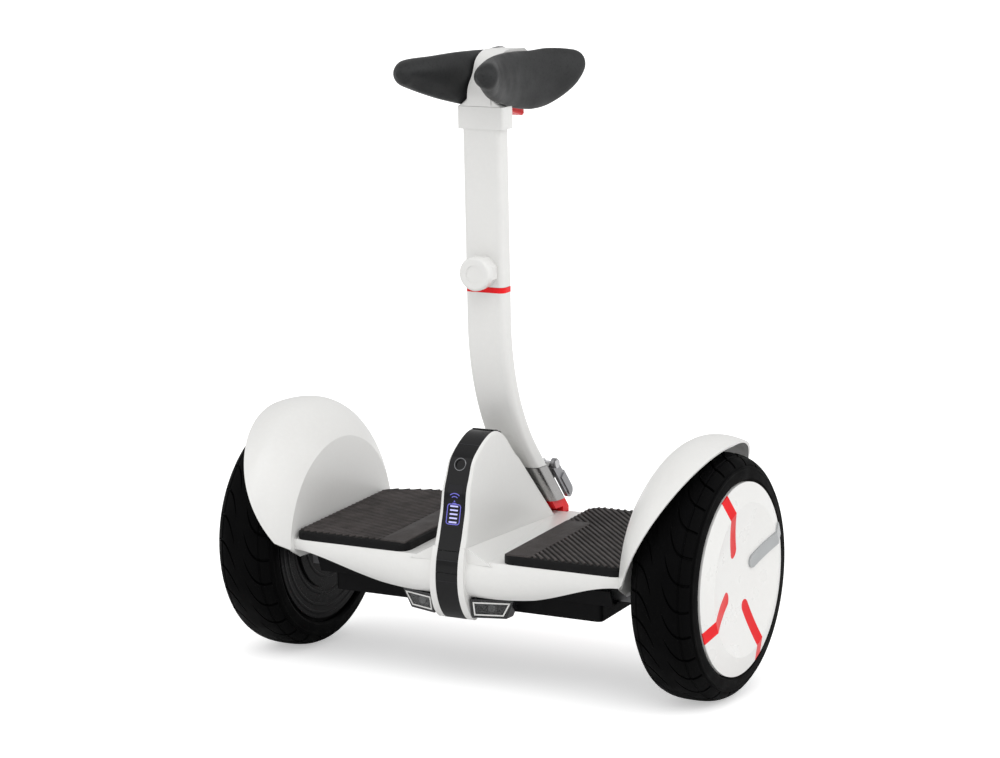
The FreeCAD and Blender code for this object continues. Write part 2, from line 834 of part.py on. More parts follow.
def make_fender():
    outer = fender_wire_points(0)
    inner = fender_wire_points(fender_wall)
    centre_out = V(fender_disc_x, 0, axle_z)
    centre_in = V(fender_disc_x + fender_wall, 0, axle_z)
    wire = Part.Wire([line(centre_out, outer[0]), curve(outer), line(outer[-1], inner[-1]),
                      curve(inner[::-1]), line(inner[0], centre_in), line(centre_in, centre_out)])
    bowl = Part.Face(wire).revolve(V(0, 0, axle_z), X_AXIS, 360)
    reach = fender_crown_radius + overrun
    top = axle_z + reach
    low = axle_z - reach

    low_x = fender_edge_x + fender_edge_slope * (low - fender_edge_z)
    top_x = fender_edge_x + fender_edge_slope * (top - fender_edge_z)
    for sweep in (0, fender_rear_sweep):
        loops = []
        for y in (-reach, reach):
            corners = [V(low_x - sweep * y, y, low), V(top_x - sweep * y, y, top),
                       V(tyre_outer_x + reach, y, top), V(tyre_outer_x + reach, y, low)]
            loops.append(Part.makePolygon(corners + corners[:1]))
        bowl = bowl.cut(Part.makeLoft(loops, True, True))
    opening = rod_x(fender_disc_x - overrun, fender_disc_x + fender_wall + overrun, 0, axle_z,
                  axle_shoulder_radius + overrun)
    holes = [rod_x(fender_disc_x - overrun, fender_disc_x + fender_wall + overrun, y, axle_z + z,
                   fender_screw_radius + fit_gap) for y, z in fender_screw_places]
    return cut_each(bowl, [opening] + holes)


def make_fender_screws():
    """Screws through the fender's disc into the end of the chassis frame."""
    screws = []
    for y, z in fender_screw_places:
        head_x = fender_disc_x + fender_wall
        shank = rod_x(head_x - fender_screw_length, head_x, y, axle_z + z, fender_screw_radius)
        head = rod_x(head_x, head_x + fender_screw_head, y, axle_z + z, fender_screw_head_radius)
        screws.append(shank.fuse(head).removeSplitter())
    return Part.makeCompound(screws)


# Deck shell
def deck_station(index, inset):
    """Closed wire of the shell's C-shaped section; inset 0 is its outer side."""
    x = deck_half_length * station_x_shares[index]
    low = deck_top_z - deck_side_height * low_edge_shares[index] - inset
    bulge = deck_top_z - (deck_top_z - low) * bulge_height_share
    front_top = -deck_front_reach * front_top_shares[index] + inset
    front_bulge = -deck_front_reach * front_bulge_shares[index] + inset
    front_low = -deck_front_reach * front_low_shares[index] + inset
    rear_top = deck_rear_reach * rear_top_shares[index] - inset
    rear_bulge = deck_rear_reach * rear_bulge_shares[index] - inset
    rear_low = deck_rear_reach * rear_low_shares[index] - inset
    top = deck_top_z - inset
    return [V(x, front_low, low), V(x, front_bulge, bulge), V(x, front_top, top),
            V(x, rear_top, top), V(x, rear_bulge, bulge), V(x, rear_low, low)]


def deck_body(inset):
    """Solid loft of the deck, closed straight across its open underside."""
    wires = []
    for index in range(len(station_x_shares)):
        a, b, c, d, e, f = deck_station(index, inset)
        wires.append(Part.Wire([Part.Arc(a, b, c).toShape(), line(c, d), Part.Arc(d, e, f).toShape(),
                                line(f, a)]))
    return Part.makeLoft(wires, True, False)


def plinth(inset):
    """Sloping foot of the hump, on top of the deck."""
    top_half = hump_half_width - inset
    foot_half = plinth_half_width - inset
    foot_z = deck_top_z - deck_wall - plinth_rear * math.tan(math.radians(deck_tilt))
    shares = (hump_base_z - inset, foot_z - inset)
    face = face_of([V(-foot_half, -plinth_front + inset, shares[1]),
                    V(-top_half, -plinth_front + inset, shares[0]),
                    V(top_half, -plinth_front + inset, shares[0]), V(foot_half, -plinth_front + inset,
                                                                     shares[1])])
    return face.extrude(V(0, plinth_front + plinth_rear - 2 * inset, 0))


def profile_points(inset):
    """Front line of hump and chin from behind the top down to the chin, moved in by inset."""
    raw = [(-nose_reach * y_share, chin_bottom_z + nose_height * z_share)
           for y_share, z_share in profile_front_shares]
    points = []
    for index, (y, z) in enumerate(raw):
        before = raw[max(index - 1, 0)]
        after = raw[min(index + 1, len(raw) - 1)]
        along = math.hypot(after[0] - before[0], after[1] - before[1])
        normal_y = -(after[1] - before[1]) / along
        normal_z = (after[0] - before[0]) / along
        points.append((y + normal_y * inset, z + normal_z * inset))
    return points


def rear_points(inset):
    """Rear slope of the hump: rounded shoulder, then a straight line to the base."""
    middle_z = chin_bottom_z + nose_height * hump_rear_mid_share
    turn_z = chin_bottom_z + nose_height * hump_rear_turn_share
    shift = inset * math.sqrt(0.5)
    return [(hump_rear_foot_y - shift, hump_base_z - shift), (hump_rear_turn_y - shift, turn_z - shift),
            (0 - shift, middle_z - shift)]


def fin(half_width, inset):
    """Whole hump and chin as one solid between two side faces."""
    front = [V(-half_width, y, z) for y, z in profile_points(inset)]
    foot, turn, middle = [V(-half_width, y, z) for y, z in rear_points(inset)]
    low_rear = V(-half_width, foot.y, chin_bottom_z)
    edges = [line(low_rear, foot), line(foot, turn), curve([turn, middle] + front),
             line(front[-1], low_rear)]
    return Part.Face(Part.Wire(edges)).extrude(V(2 * half_width, 0, 0))


def side_half_width(z):
    """Half width between the leaning sides of hump and chin."""
    return hump_half_width + (hump_top_half_width - hump_half_width) * (z - hump_base_z) / hump_height


def leaning_fin(inset, profile_inset):
    """Hump and chin as one solid between their two leaning sides."""
    low = chin_bottom_z - overrun
    high = hump_top_z + overrun
    low_half = side_half_width(low) - inset
    high_half = side_half_width(high) - inset
    face = face_of([V(-low_half, -nose_reach - overrun, low), V(low_half, -nose_reach - overrun, low),
                    V(high_half, -nose_reach - overrun, high), V(-high_half, -nose_reach - overrun, high)])
    between = face.extrude(V(0, nose_reach + hump_rear_foot_y + 2 * overrun, 0))
    return fin(low_half + overrun, profile_inset).common(between)


def rounded_hump():
    """Hump above the deck as a solid, with rounded shoulders."""
    above = block(-hump_half_width - overrun, hump_half_width + overrun, -nose_reach - overrun,
                  hump_rear_foot_y + overrun, hump_base_z + fit_gap, hump_top_z + overrun)
    body = leaning_fin(0, 0).common(above)
    long_edges = []
    for edge in body.Edges:
        box = edge.BoundBox
        if box.XLength < hump_top_half_width and box.YLength > overrun and box.ZLength > overrun:
            long_edges.append(edge)
    return body.makeFillet(hump_round, long_edges)


def strip_channel():
    """Recess for the strip, cut into hump and chin."""
    half = strip_width / 2 + strip_clearance
    outer = fin(half, -overrun)
    inner = fin(half + overrun, strip_thickness + strip_clearance)
    behind = block(-half - overrun, half + overrun, strip_rear_y, hump_rear_foot_y + nose_reach,
                   chin_bottom_z - nose_height, hump_top_z + nose_height)
    return cut_each(outer, [inner, behind])


def button_frame():
    """Centre and outward direction of the strip's face at the button's height."""
    points = profile_points(0)
    for (y0, z0), (y1, z1) in zip(points, points[1:]):
        if z1 <= button_z <= z0:
            part = (z0 - button_z) / (z0 - z1)
            along = math.hypot(y1 - y0, z1 - z0)
            return V(0, y0 + (y1 - y0) * part, button_z), V(0, (z1 - z0) / along, -(y1 - y0) / along)
    return None


def make_hump():
    inner = leaning_fin(hump_wall, hump_wall + strip_thickness)
    centre, out = button_frame()
    bore = Part.makeCylinder(button_stem_radius + steer_clearance, strip_thickness + hump_wall * 3,
                             centre - out * (strip_thickness + hump_wall * 2), out)
    return cut_each(rounded_hump(), [inner, strip_channel(), bore])


def tail_block(front, rear, inset):
    """Block of the right tail lamp, between two depths from the deck's rear face."""
    return block(tail_inner_x + inset, tail_outer_x - inset, tail_face_y - front, tail_face_y + rear,
                 tail_z - tail_height / 2 + inset, tail_z + tail_height / 2 - inset)


def notch(wall):
    """Room in the deck's rear edge for the leaning hinge block."""
    half = notch_half_width + wall
    return block(-half, half, notch_front_y - wall, deck_rear_reach + nose_reach, 0,
                 hump_base_z + nose_reach)


def make_deck_shell():
    core = tilted(deck_body(deck_wall))
    body = tilted(deck_body(0)).cut(notch(0)).cut(core.cut(notch(deck_wall)))
    foot = plinth(0).cut(plinth(deck_wall))
    chin_half = side_half_width(chin_bottom_z) + overrun
    chin_zone = block(-chin_half, chin_half, -nose_reach - overrun, -nose_reach + chin_depth,
                      chin_bottom_z - overrun, hump_base_z)
    chin = leaning_fin(0, 0).common(chin_zone)
    chin_hollow = leaning_fin(deck_wall, strip_thickness + deck_wall)
    for piece in (foot.cut(core), chin.cut(chin_hollow)):
        body = body.fuse(piece)
    tools = [plinth(deck_wall).cut(tilted(deck_body(0))), strip_channel()]
    tools.append(block(-hump_half_width - fit_gap, hump_half_width + fit_gap, -nose_reach - overrun,
                       hump_rear_foot_y,
                       hump_base_z, hump_top_z))
    tools.append(tilted(rod_y(0, deck_rear_reach + nose_reach, 0, steer_axis_z, steer_radius + overrun)))
    tools.append(inlet_plate(fit_gap, overrun * 3))
    tools.append(tail_block(deck_wall * 3, deck_wall * 3, 0))
    tools.append(mirrored(tail_block(deck_wall * 3, deck_wall * 3, 0)))
    return cut_each(body, tools)


def make_tail_lamp():
    return tail_block(tail_depth, tail_proud, fit_gap)


# Strip, button and display
def strip_band():
    """The strip along its whole length, before it is parted."""
    half = strip_width / 2
    outer = fin(half, 0)
    inner = fin(half + overrun, strip_thickness)
    behind = block(-half - overrun, half + overrun, strip_rear_y, hump_rear_foot_y + nose_reach,
                   chin_bottom_z - nose_height, hump_top_z + nose_height)
    return cut_each(outer, [inner, behind])


def strip_part(band, low, high, rear):
    """The part of the strip between two heights, in front of rear."""
    half = strip_width
    return band.common(block(-half, half, -nose_reach - overrun, rear, low, high))


def display_zone(width, extra):
    half = width / 2
    return block(-half, half, -nose_reach - overrun, 0, display_low_z - extra, display_high_z + extra)


def make_strip_top(band):
    seam = strip_seams_z[0]
    top = strip_part(band, seam + strip_seam_gap / 2, hump_top_z + overrun, 0)
    centre, out = button_frame()
    bore = Part.makeCylinder(button_radius + button_clearance, strip_thickness * 4,
                             centre - out * strip_thickness * 2,
                             out)
    shallow = fin(strip_width, display_thickness + fit_gap)
    window = display_zone(display_width + 2 * fit_gap, fit_gap).cut(shallow)
    ridges = []
    for number in range(ridge_count):
        y = strip_rear_y - ridge_pitch * (number + 1)
        slab = block(-strip_width / 2, strip_width / 2, y - ridge_width / 2, y + ridge_width / 2,
                     hump_base_z,
                     hump_top_z + nose_height)
        ridges.append(fin(strip_width / 2, -ridge_height).common(slab).cut(fin(strip_width, ridge_height)))
    return cut_each(union([top] + ridges), [bore, window])


def make_display_window(band):
    shallow = fin(strip_width, display_thickness)
    return band.common(display_zone(display_width, 0)).cut(shallow)


def make_button():
    centre, out = button_frame()
    head = Part.makeCylinder(button_radius, button_height, centre - out * (button_height - ridge_height / 2),
                             out)
    groove = Part.makeCylinder(button_radius - button_ring_width, button_height,
                               centre - out * ridge_height / 2, out)
    depth = strip_thickness + hump_wall - button_travel
    stem = Part.makeCylinder(button_stem_radius, depth, centre - out * (depth + ridge_height), out)
    return head.cut(groove).fuse(stem).removeSplitter()


# Lamps
def lamp_front_y(x, z):
    """The lamp's front plane, which slants back outwards and downwards."""
    slope = (lamp_outer_y - lamp_inner_y) / (lamp_outer_x - lamp_inner_x)
    return lamp_inner_y + slope * (x - lamp_inner_x) + lamp_lean * (lamp_top_z - z) / lamp_height


def lamp_block(inset, front, depth):
    """Lamp outline moved in by inset, from a distance front behind the front plane."""
    x0 = lamp_inner_x + inset
    x1 = lamp_outer_x - inset
    low = lamp_bottom_z + inset
    high = lamp_top_z - inset
    corners = [(x0, high), (x1, high), (x1 - lamp_outer_cut, low), (x0, low)]
    return face_of([V(x, lamp_front_y(x, z) + front, z) for x, z in corners]).extrude(V(0, depth, 0))


def make_lamp_bezel():
    """Open housing of the lamp with its pale rim."""
    room = lamp_block(lamp_wall, -overrun, lamp_depth + overrun - lamp_wall)
    return lamp_block(0, 0, lamp_depth).cut(room)


def make_lamp_lens():
    return lamp_block(lamp_wall + fit_gap, 0, lens_thickness)


def make_lamp_led():
    x = lamp_inner_x + (lamp_outer_x - lamp_inner_x) * led_place_share
    z = (lamp_top_z + lamp_bottom_z) / 2
    back = lamp_front_y(x - led_radius, z + led_radius) + lamp_depth - lamp_wall
    return rod_y(back - led_length, back, x, z, led_radius)


# Mats
def mat_outline(inset):
    """Plan of the right mat, with its corners, in the level chassis."""
    x0 = mat_inner_x + inset
    x1 = mat_outer_x - inset
    y0 = -mat_front + inset
    y1 = mat_rear - inset
    return [(x0, y0), (x1, y0), (x1, y1 - mat_corner_cut_y), (x1 - mat_corner_cut_x, y1),
            (x0 + mat_inner_cut, y1), (x0, y1 - mat_inner_cut)]


def make_mat():
    base = deck_top_z
    plan = face_of([V(x, y, base) for x, y in mat_outline(0)])
    mat = plan.extrude(V(0, 0, mat_thickness))
    posts = [edge for edge in mat.Edges if abs(edge.tangentAt(edge.FirstParameter).z) > 0.5]
    mat = mat.makeFillet(mat_corner / 2, posts)
    rim = [edge for edge in mat.Edges if edge.BoundBox.ZMin > base + mat_thickness - fit_gap]
    mat = mat.makeFillet(mat_edge_round, rim)
    field = face_of([V(x, y, base) for x, y in mat_outline(rib_edge)]).extrude(V(0, 0, mat_thickness * 2))
    band_x = mat_inner_x + rib_band
    field = field.cut(block(mat_inner_x - overrun, band_x, -mat_front, mat_rear - 2 * rib_band, base,
                            base + mat_thickness * 3))
    turn = math.radians(rib_angle)
    grooves = []
    middle_x = (mat_inner_x + mat_outer_x) / 2
    middle_y = (mat_rear - mat_front) / 2
    count = int(rib_rear_length / rib_pitch)
    for number in range(-count, count + 1):
        offset = number * rib_pitch
        groove = block(-rib_rear_length, rib_rear_length, -(rib_pitch - rib_width) / 2,
                       (rib_pitch - rib_width) / 2,
                       base + mat_thickness - rib_depth, base + mat_thickness + overrun)
        groove.rotate(V(0, 0, 0), Z_AXIS, -rib_angle)
        groove.translate(V(middle_x + offset * math.sin(turn), middle_y + offset * math.cos(turn), 0))
        cut = groove.common(field)
        if cut.Volume > fit_gap:
            grooves += cut.Solids
    return tilted(cut_each(mat, grooves))


def make_sensor():
    """Pressure switches under the deck's skin, one for the toes and one for the heel."""
    pads = []
    for side in (-1, 1):
        y = side * sensor_reach_y
        pads.append(block(pocket_middle_x - sensor_length / 2, pocket_middle_x + sensor_length / 2,
                          y - sensor_width / 2, y + sensor_width / 2,
                          deck_top_z - deck_wall - sensor_thickness, deck_top_z - deck_wall))
    return tilted(Part.makeCompound(pads))


# Frame, tray and battery
def bolt_holes(low, high):
    """Clearance holes for the battery's bolts."""
    return [Part.makeCylinder(battery_bolt_radius + fit_gap, high - low, V(x, y, low))
            for x in (-battery_bolt_x, battery_bolt_x) for y in (-battery_bolt_y, battery_bolt_y)]


def make_frame():
    """Cast frame: end blocks for the axles, side beams, and a tunnel for the steering shaft."""
    end = deck_half_length
    whole = block(-end, end, -frame_half_width, frame_half_width, frame_bottom_z, frame_top_z)
    tools = bolt_holes(frame_bottom_z - overrun, frame_bottom_z + frame_wall + overrun)
    inner_half = frame_half_width - frame_wall
    marks = [frame_tunnel_half + frame_wall, end * frame_rib_place_share,
             pocket_end_x + frame_rib_thickness / 2]
    for left, right in zip(marks, marks[1:]):
        for side in (-1, 1):
            x0, x1 = sorted((side * (left + frame_rib_thickness / 2),
                             side * (right - frame_rib_thickness / 2)))
            tools.append(block(x0, x1, -inner_half, inner_half, frame_bottom_z + frame_wall,
                               frame_top_z + overrun))
    tools.append(block(-frame_tunnel_half, frame_tunnel_half, overrun - steer_bearing_place,
                       steer_bearing_place - overrun, frame_bottom_z + frame_wall / 2, frame_top_z + overrun))
    tools.append(rod_y(-frame_half_width - overrun, frame_half_width + overrun, 0, steer_axis_z,
                       steer_radius + overrun / 2))
    for side in (-1, 1):
        y0, y1 = sorted((side * steer_bearing_place, side * (frame_half_width + overrun)))
        tools.append(rod_y(y0, y1, 0, steer_axis_z, steer_bearing_radius + fit_gap))
    body = tilted(cut_each(whole, tools))
    bores = []
    for side in (-1, 1):
        x0, x1 = sorted((side * (axle_inner_end - overrun), side * (end + overrun)))
        bores.append(rod_x(x0, x1, 0, axle_z, axle_radius + fit_gap))
        for y, z in fender_screw_places:
            s0, s1 = sorted((side * (end - fender_screw_length), side * (end + overrun)))
            bores.append(rod_x(s0, s1, y, axle_z + z, fender_screw_radius + fit_gap / 2))
    return cut_each(body, bores)


def make_steer_bearings():
    bearings = []
    for side in (-1, 1):
        y0, y1 = sorted((side * steer_bearing_place, side * (steer_bearing_place + steer_bearing_width)))
        ring = rod_y(y0, y1, 0, steer_axis_z, steer_bearing_radius)
        bearings.append(ring.cut(rod_y(y0 - overrun, y1 + overrun, 0, steer_axis_z,
                                       steer_radius + steer_clearance)))
    return tilted(Part.makeCompound(bearings))


def make_steer_stops():
    """Rubber blocks on both sides of the shaft's arm that centre it."""
    half = steer_arm_length / 2
    top = steer_axis_z + steer_arm_rise
    stops = []
    for side in (-1, 1):
        x0, x1 = sorted((side * (steer_arm_half + steer_stop_gap), side * (frame_tunnel_half - fit_gap)))
        stops.append(block(x0, x1, -half, half, top - steer_stop_height, top))
    return tilted(Part.makeCompound(stops))


def make_board():
    """Control board on four posts on the floor of the frame."""
    low = frame_bottom_z + frame_wall
    half_x = board_length / 2
    half_y = board_width / 2
    top = low + board_post + board_thickness
    plate = block(pocket_middle_x - half_x, pocket_middle_x + half_x, -half_y, half_y, low + board_post, top)
    pieces = [plate]
    for x_side in (-1, 1):
        for y_side in (-1, 1):
            pieces.append(Part.makeCylinder(board_post_radius, board_post,
                                            V(pocket_middle_x + x_side * (half_x - board_edge),
                                              y_side * (half_y - board_edge * 2), low)))
    for x_share, y_share in chip_places_share:
        x = pocket_middle_x + x_share * board_length
        y = y_share * board_width
        half = chip_size / 2
        pieces.append(block(x - half, x + half, y - half, y + half, top, top + chip_height))
    return tilted(union(pieces))


def inlet_plate(grow, more_depth):
    """Face plate of the charge inlet in the deck's rear wall."""
    half_x = inlet_plate_width / 2 + grow
    half_z = inlet_plate_height / 2 + grow
    middle_x = inlet_x + hinge_reach / 4
    return block(middle_x - half_x, middle_x + half_x, inlet_face_y - inlet_plate_thickness - more_depth,
                 inlet_face_y + more_depth, inlet_z - half_z, inlet_z + half_z)


def make_inlet():
    plate = inlet_plate(0, 0)
    socket = rod_y(inlet_face_y - inlet_depth, inlet_face_y - overrun / 2, inlet_x, inlet_z, inlet_radius)
    bore = rod_y(inlet_face_y - inlet_depth + overrun, inlet_face_y + overrun, inlet_x, inlet_z,
                 inlet_bore_radius)
    hinge_x = inlet_x + hinge_reach
    hinge_y = inlet_face_y + hinge_proud
    lug_low = cap_arm_half + seat_gap
    lugs = []
    for z0 in (inlet_z + lug_low, inlet_z - lug_low - hinge_lug_height):
        lugs.append(block(hinge_x - hinge_lug_width / 2, hinge_x + hinge_lug_width / 2,
                          inlet_face_y - overrun / 2, hinge_y + hinge_barrel_radius,
                          z0, z0 + hinge_lug_height))
    rod_low = inlet_z - lug_low - hinge_lug_height / 2
    rod = Part.makeCylinder(hinge_pin_radius, 2 * (inlet_z - rod_low), V(hinge_x, hinge_y, rod_low))
    return union([plate.fuse(socket).cut(bore), rod] + lugs)


def make_inlet_cap():
    """Rubber cap that swings on the inlet's pin."""
    y0 = inlet_face_y + seat_gap
    y1 = y0 + cap_plate_thickness
    hinge_x = inlet_x + hinge_reach
    hinge_y = inlet_face_y + hinge_proud
    disc = rod_y(y0, y1, inlet_x, inlet_z, cap_plate_radius)
    plug = rod_y(y0 - cap_plug_length, y0, inlet_x, inlet_z, cap_plug_radius)
    arm = block(inlet_x, hinge_x, y0, y1, inlet_z - cap_arm_half, inlet_z + cap_arm_half)
    barrel = Part.makeCylinder(hinge_barrel_radius, 2 * cap_arm_half,
                               V(hinge_x, hinge_y, inlet_z - cap_arm_half))
    hole = Part.makeCylinder(hinge_pin_radius + hinge_clearance, 3 * cap_arm_half,
                             V(hinge_x, hinge_y, inlet_z - 1.5 * cap_arm_half))
    return union([disc, plug, arm, barrel]).cut(hole)


def make_tray():
    """Black underbody that closes the deck from below, with sloping sides."""
    low = battery_top_z
    high = frame_bottom_z - fit_gap
    floor = block(-tray_half_length, tray_half_length, -tray_half_width, tray_half_width, low, high)
    walls = []
    for side in (-1, 1):
        y1 = side * tray_half_width
        y2 = side * tray_rim_half_width
        top = deck_low_z + deck_side_height / 2
        rows = [(y1 - side * tray_wall, low), (y1, low), (y2, top), (y2 - side * tray_wall, top)]
        wall = face_of([V(-tray_half_length, y, z) for y, z in rows]).extrude(V(2 * tray_half_length, 0, 0))
        walls.append(wall)
    body = union([floor] + walls)
    shaft = rod_y(0, tray_rim_half_width + overrun, 0, steer_axis_z, steer_radius + overrun)
    return tilted(cut_each(body, bolt_holes(low - overrun, high + overrun) + [shaft]))


def make_battery():
    pack = block(-battery_half_length, battery_half_length, -battery_half_width, battery_half_width,
                 battery_bottom_z, battery_top_z)
    posts = [edge for edge in pack.Edges if abs(edge.tangentAt(edge.FirstParameter).z) > 0.5]
    pack = pack.makeFillet(battery_corner, posts)
    tools = bolt_holes(battery_bottom_z - overrun, battery_top_z + overrun)
    for side in (-1, 1):
        y = side * battery_half_width / 4
        tools.append(block(-battery_half_length / 2, battery_half_length / 2, y - battery_rail_width / 2,
                           y + battery_rail_width / 2, battery_bottom_z - overrun,
                           battery_bottom_z + battery_rail_height))
    for x in (-battery_bolt_x, battery_bolt_x):
        for y in (-battery_bolt_y, battery_bolt_y):
            tools.append(Part.makeCylinder(battery_bolt_head_radius + fit_gap, battery_bolt_head + overrun,
                                           V(x, y, battery_bottom_z - overrun)))
    return tilted(cut_each(pack, tools))


def make_battery_bolts():
    bolts = []
    for x in (-battery_bolt_x, battery_bolt_x):
        for y in (-battery_bolt_y, battery_bolt_y):
            head = Part.makeCylinder(battery_bolt_head_radius, battery_bolt_head, V(x, y, battery_bottom_z))
            shank = Part.makeCylinder(battery_bolt_radius,
                                      battery_top_z + battery_bolt_grip - battery_bottom_z,
                                      V(x, y, battery_bottom_z))
            bolts.append(head.fuse(shank).removeSplitter())
    return tilted(Part.makeCompound(bolts))


# Knee bar frames
def bar_foot_lean():
    """Angle from vertical of the bar's foot, a little steeper than the hump's rear slope."""
    (foot_y, foot_z), (turn_y, turn_z) = rear_points(0)[:2]
    return math.degrees(math.atan2(foot_y - turn_y, turn_z - foot_z)) - bar_slope_offset


def hump_slope():
    """Point near the hump's foot and the unit vector out of its rear slope."""
    (foot_y, foot_z), (turn_y, turn_z) = rear_points(0)[:2]
    length = math.hypot(foot_y - turn_y, foot_z - turn_z)
    down = ((foot_y - turn_y) / length, (foot_z - turn_z) / length)
    out = (-down[1], down[0])
    point = (turn_y + (foot_y - turn_y) * bar_foot_share, turn_z + (foot_z - turn_z) * bar_foot_share)
    return point, out


def foot_point():
    """Middle of the bar's section at the bottom of the clamp."""
    point, out = hump_slope()
    reach = bar_hump_gap + bar_depth / 2
    return V(0, point[0] + out[0] * reach, point[1] + out[1] * reach)


def heading(lean):
    """Unit vector up the bar where it leans back from vertical by this angle going down."""
    angle = math.radians(lean)
    return V(0, -math.sin(angle), math.cos(angle))


def bend_points():
    """Start, middle and end of the bar's bend, in its middle plane."""
    start = foot_point() + heading(bar_foot_lean()) * bar_foot_run

    def turned(lean):
        a0 = math.radians(bar_foot_lean())
        a1 = math.radians(lean)
        return start + V(0, -bar_bend_radius * (math.cos(a1) - math.cos(a0)),
                         bar_bend_radius * (math.sin(a0) - math.sin(a1)))

    return start, turned((bar_foot_lean() + bar_lean) / 2), turned(bar_lean)


def on_foot(shape):
    """Place a shape built along +Z at the foot of the bar."""
    placed = shape.copy()
    placed.rotate(V(0, 0, 0), X_AXIS, bar_foot_lean())
    placed.translate(foot_point())
    return placed


def on_mast(shape):
    """Place a shape built along +Z on the straight upper part of the bar."""
    placed = shape.copy()
    placed.rotate(V(0, 0, 0), X_AXIS, bar_lean)
    placed.translate(bend_points()[2])
    return placed


def swept_bar(width, depth, corner, first, last):
    """The bent bar from a height first above the foot to last above the bend's end."""
    start, middle, end = bend_points()
    foot = foot_point() + heading(bar_foot_lean()) * first
    top = end + heading(bar_lean) * last
    path = Part.Wire([line(foot, start), Part.Arc(start, middle, end).toShape(), line(end, top)])
    section = rounded_section(width, depth, corner, 0)
    section.rotate(V(0, 0, 0), X_AXIS, bar_foot_lean())
    section.translate(foot)
    return path.makePipeShell([section], True, False)


def clamp_top_z():
    """Height of the level cut at the top of the clamp."""
    return foot_point().z + clamp_length * math.cos(math.radians(bar_foot_lean()))


def above(z):
    """Large block over a level plane, to trim the foot of the bar."""
    return block(-bar_width, bar_width, -nose_reach, deck_rear_reach + bar_width, z, z + 2 * hump_top_z)


def make_lower_tube():
    outer = swept_bar(bar_width, bar_depth, bar_round, clamp_length - bar_depth, ring_place)
    inner = swept_bar(bar_width - 2 * bar_wall, bar_depth - 2 * bar_wall, bar_round - bar_wall,
                      clamp_length - bar_depth - overrun, ring_place + overrun)
    level = clamp_top_z() + seat_gap
    return outer.cut(inner).common(above(level))


def spigot(grow, low, high):
    """Core of the clamp and of the foot of the tube, where the hinge block's spigot sits."""
    return rounded_bar(bar_width - 2 * bar_wall + 2 * grow, bar_depth - 2 * bar_wall + 2 * grow,
                       bar_round - bar_wall,
                       low, high)


def latch_pin_place():
    """Y and Z of the latch pin in the frame of the bar's foot."""
    return bar_depth / 2 + latch_reach, latch_pin_up


def latch_plate_x():
    return ear_place + clamp_slit / 2 + ear_thickness + latch_gap


def make_clamp():
    """Sleeve round the foot of the bar with level ends, a slit and two round ears behind."""
    outer = rounded_bar(bar_width + clamp_wall, bar_depth + clamp_wall, bar_round + clamp_wall / 2,
                        -bar_depth,
                        clamp_length + bar_depth)
    y, z = latch_pin_place()
    slit = block(ear_place - clamp_slit / 2, ear_place + clamp_slit / 2, 0, y + bar_depth, ear_low,
                 clamp_length + 2 * bar_depth)
    ears = []
    for x0 in (ear_place - clamp_slit / 2 - ear_thickness, ear_place + clamp_slit / 2):
        ears.append(block(x0, x0 + ear_thickness, bar_depth / 2 - overrun / 2, y, z - ear_low,
                          z + ear_round))
        ears.append(block(x0, x0 + ear_thickness, bar_depth / 2 - overrun / 2, y + ear_round, z - ear_low,
                          z))
        ears.append(rod_x(x0, x0 + ear_thickness, y, z, ear_round))
    hole = rod_x(ear_place - bar_width, ear_place + bar_width, y, z, latch_pin_radius + fit_gap / 2)
    core = spigot(0, -bar_depth - overrun, clamp_length + bar_depth + overrun)
    body = on_foot(cut_each(outer.fuse(ears), [core, slit, hole]))
    return body.common(above(foot_point().z)).cut(above(clamp_top_z()))


def make_latch_lever():
    """Flat stepped lever with round ends that lies along the clamp."""
    y, z = latch_pin_place()
    x0 = latch_plate_x()
    x1 = x0 + latch_thickness
    half = latch_depth / 2
    reach = latch_length - latch_depth
    low_z = z - reach
    step_z = z - reach * latch_step_share
    plate = block(x0, x1, y - half, y + half - latch_step_depth, low_z, z)
    wide = block(x0, x1, y - half, y + half, low_z, step_z)
    ends = [rod_x(x0, x1, y, z, half - latch_step_depth / 2), rod_x(x0, x1, y, low_z, half)]
    rib = block(x1, x1 + latch_rib_height, y - half / 2, y + half / 2, low_z, step_z)
    disc = rod_x(x1, x1 + latch_rib_height, y, low_z, latch_disc_radius)
    hole = rod_x(x0 - overrun, x1 + overrun, y, z, latch_pin_radius + latch_pin_clearance)
    return on_foot(union([plate, wide, rib, disc] + ends).cut(hole))


def make_latch_pin():
    y, z = latch_pin_place()
    x0 = ear_place - clamp_slit / 2 - ear_thickness
    x1 = latch_plate_x() + latch_thickness + latch_gap
    shank = rod_x(x0 - latch_pin_head, x1, y, z, latch_pin_radius)
    near = rod_x(x1, x1 + latch_pin_head, y, z, latch_pin_head_radius)
    far = rod_x(x0 - latch_pin_head - fit_gap, x0 - fit_gap, y, z, latch_pin_head_radius)
    return on_foot(union([shank, near, far]))


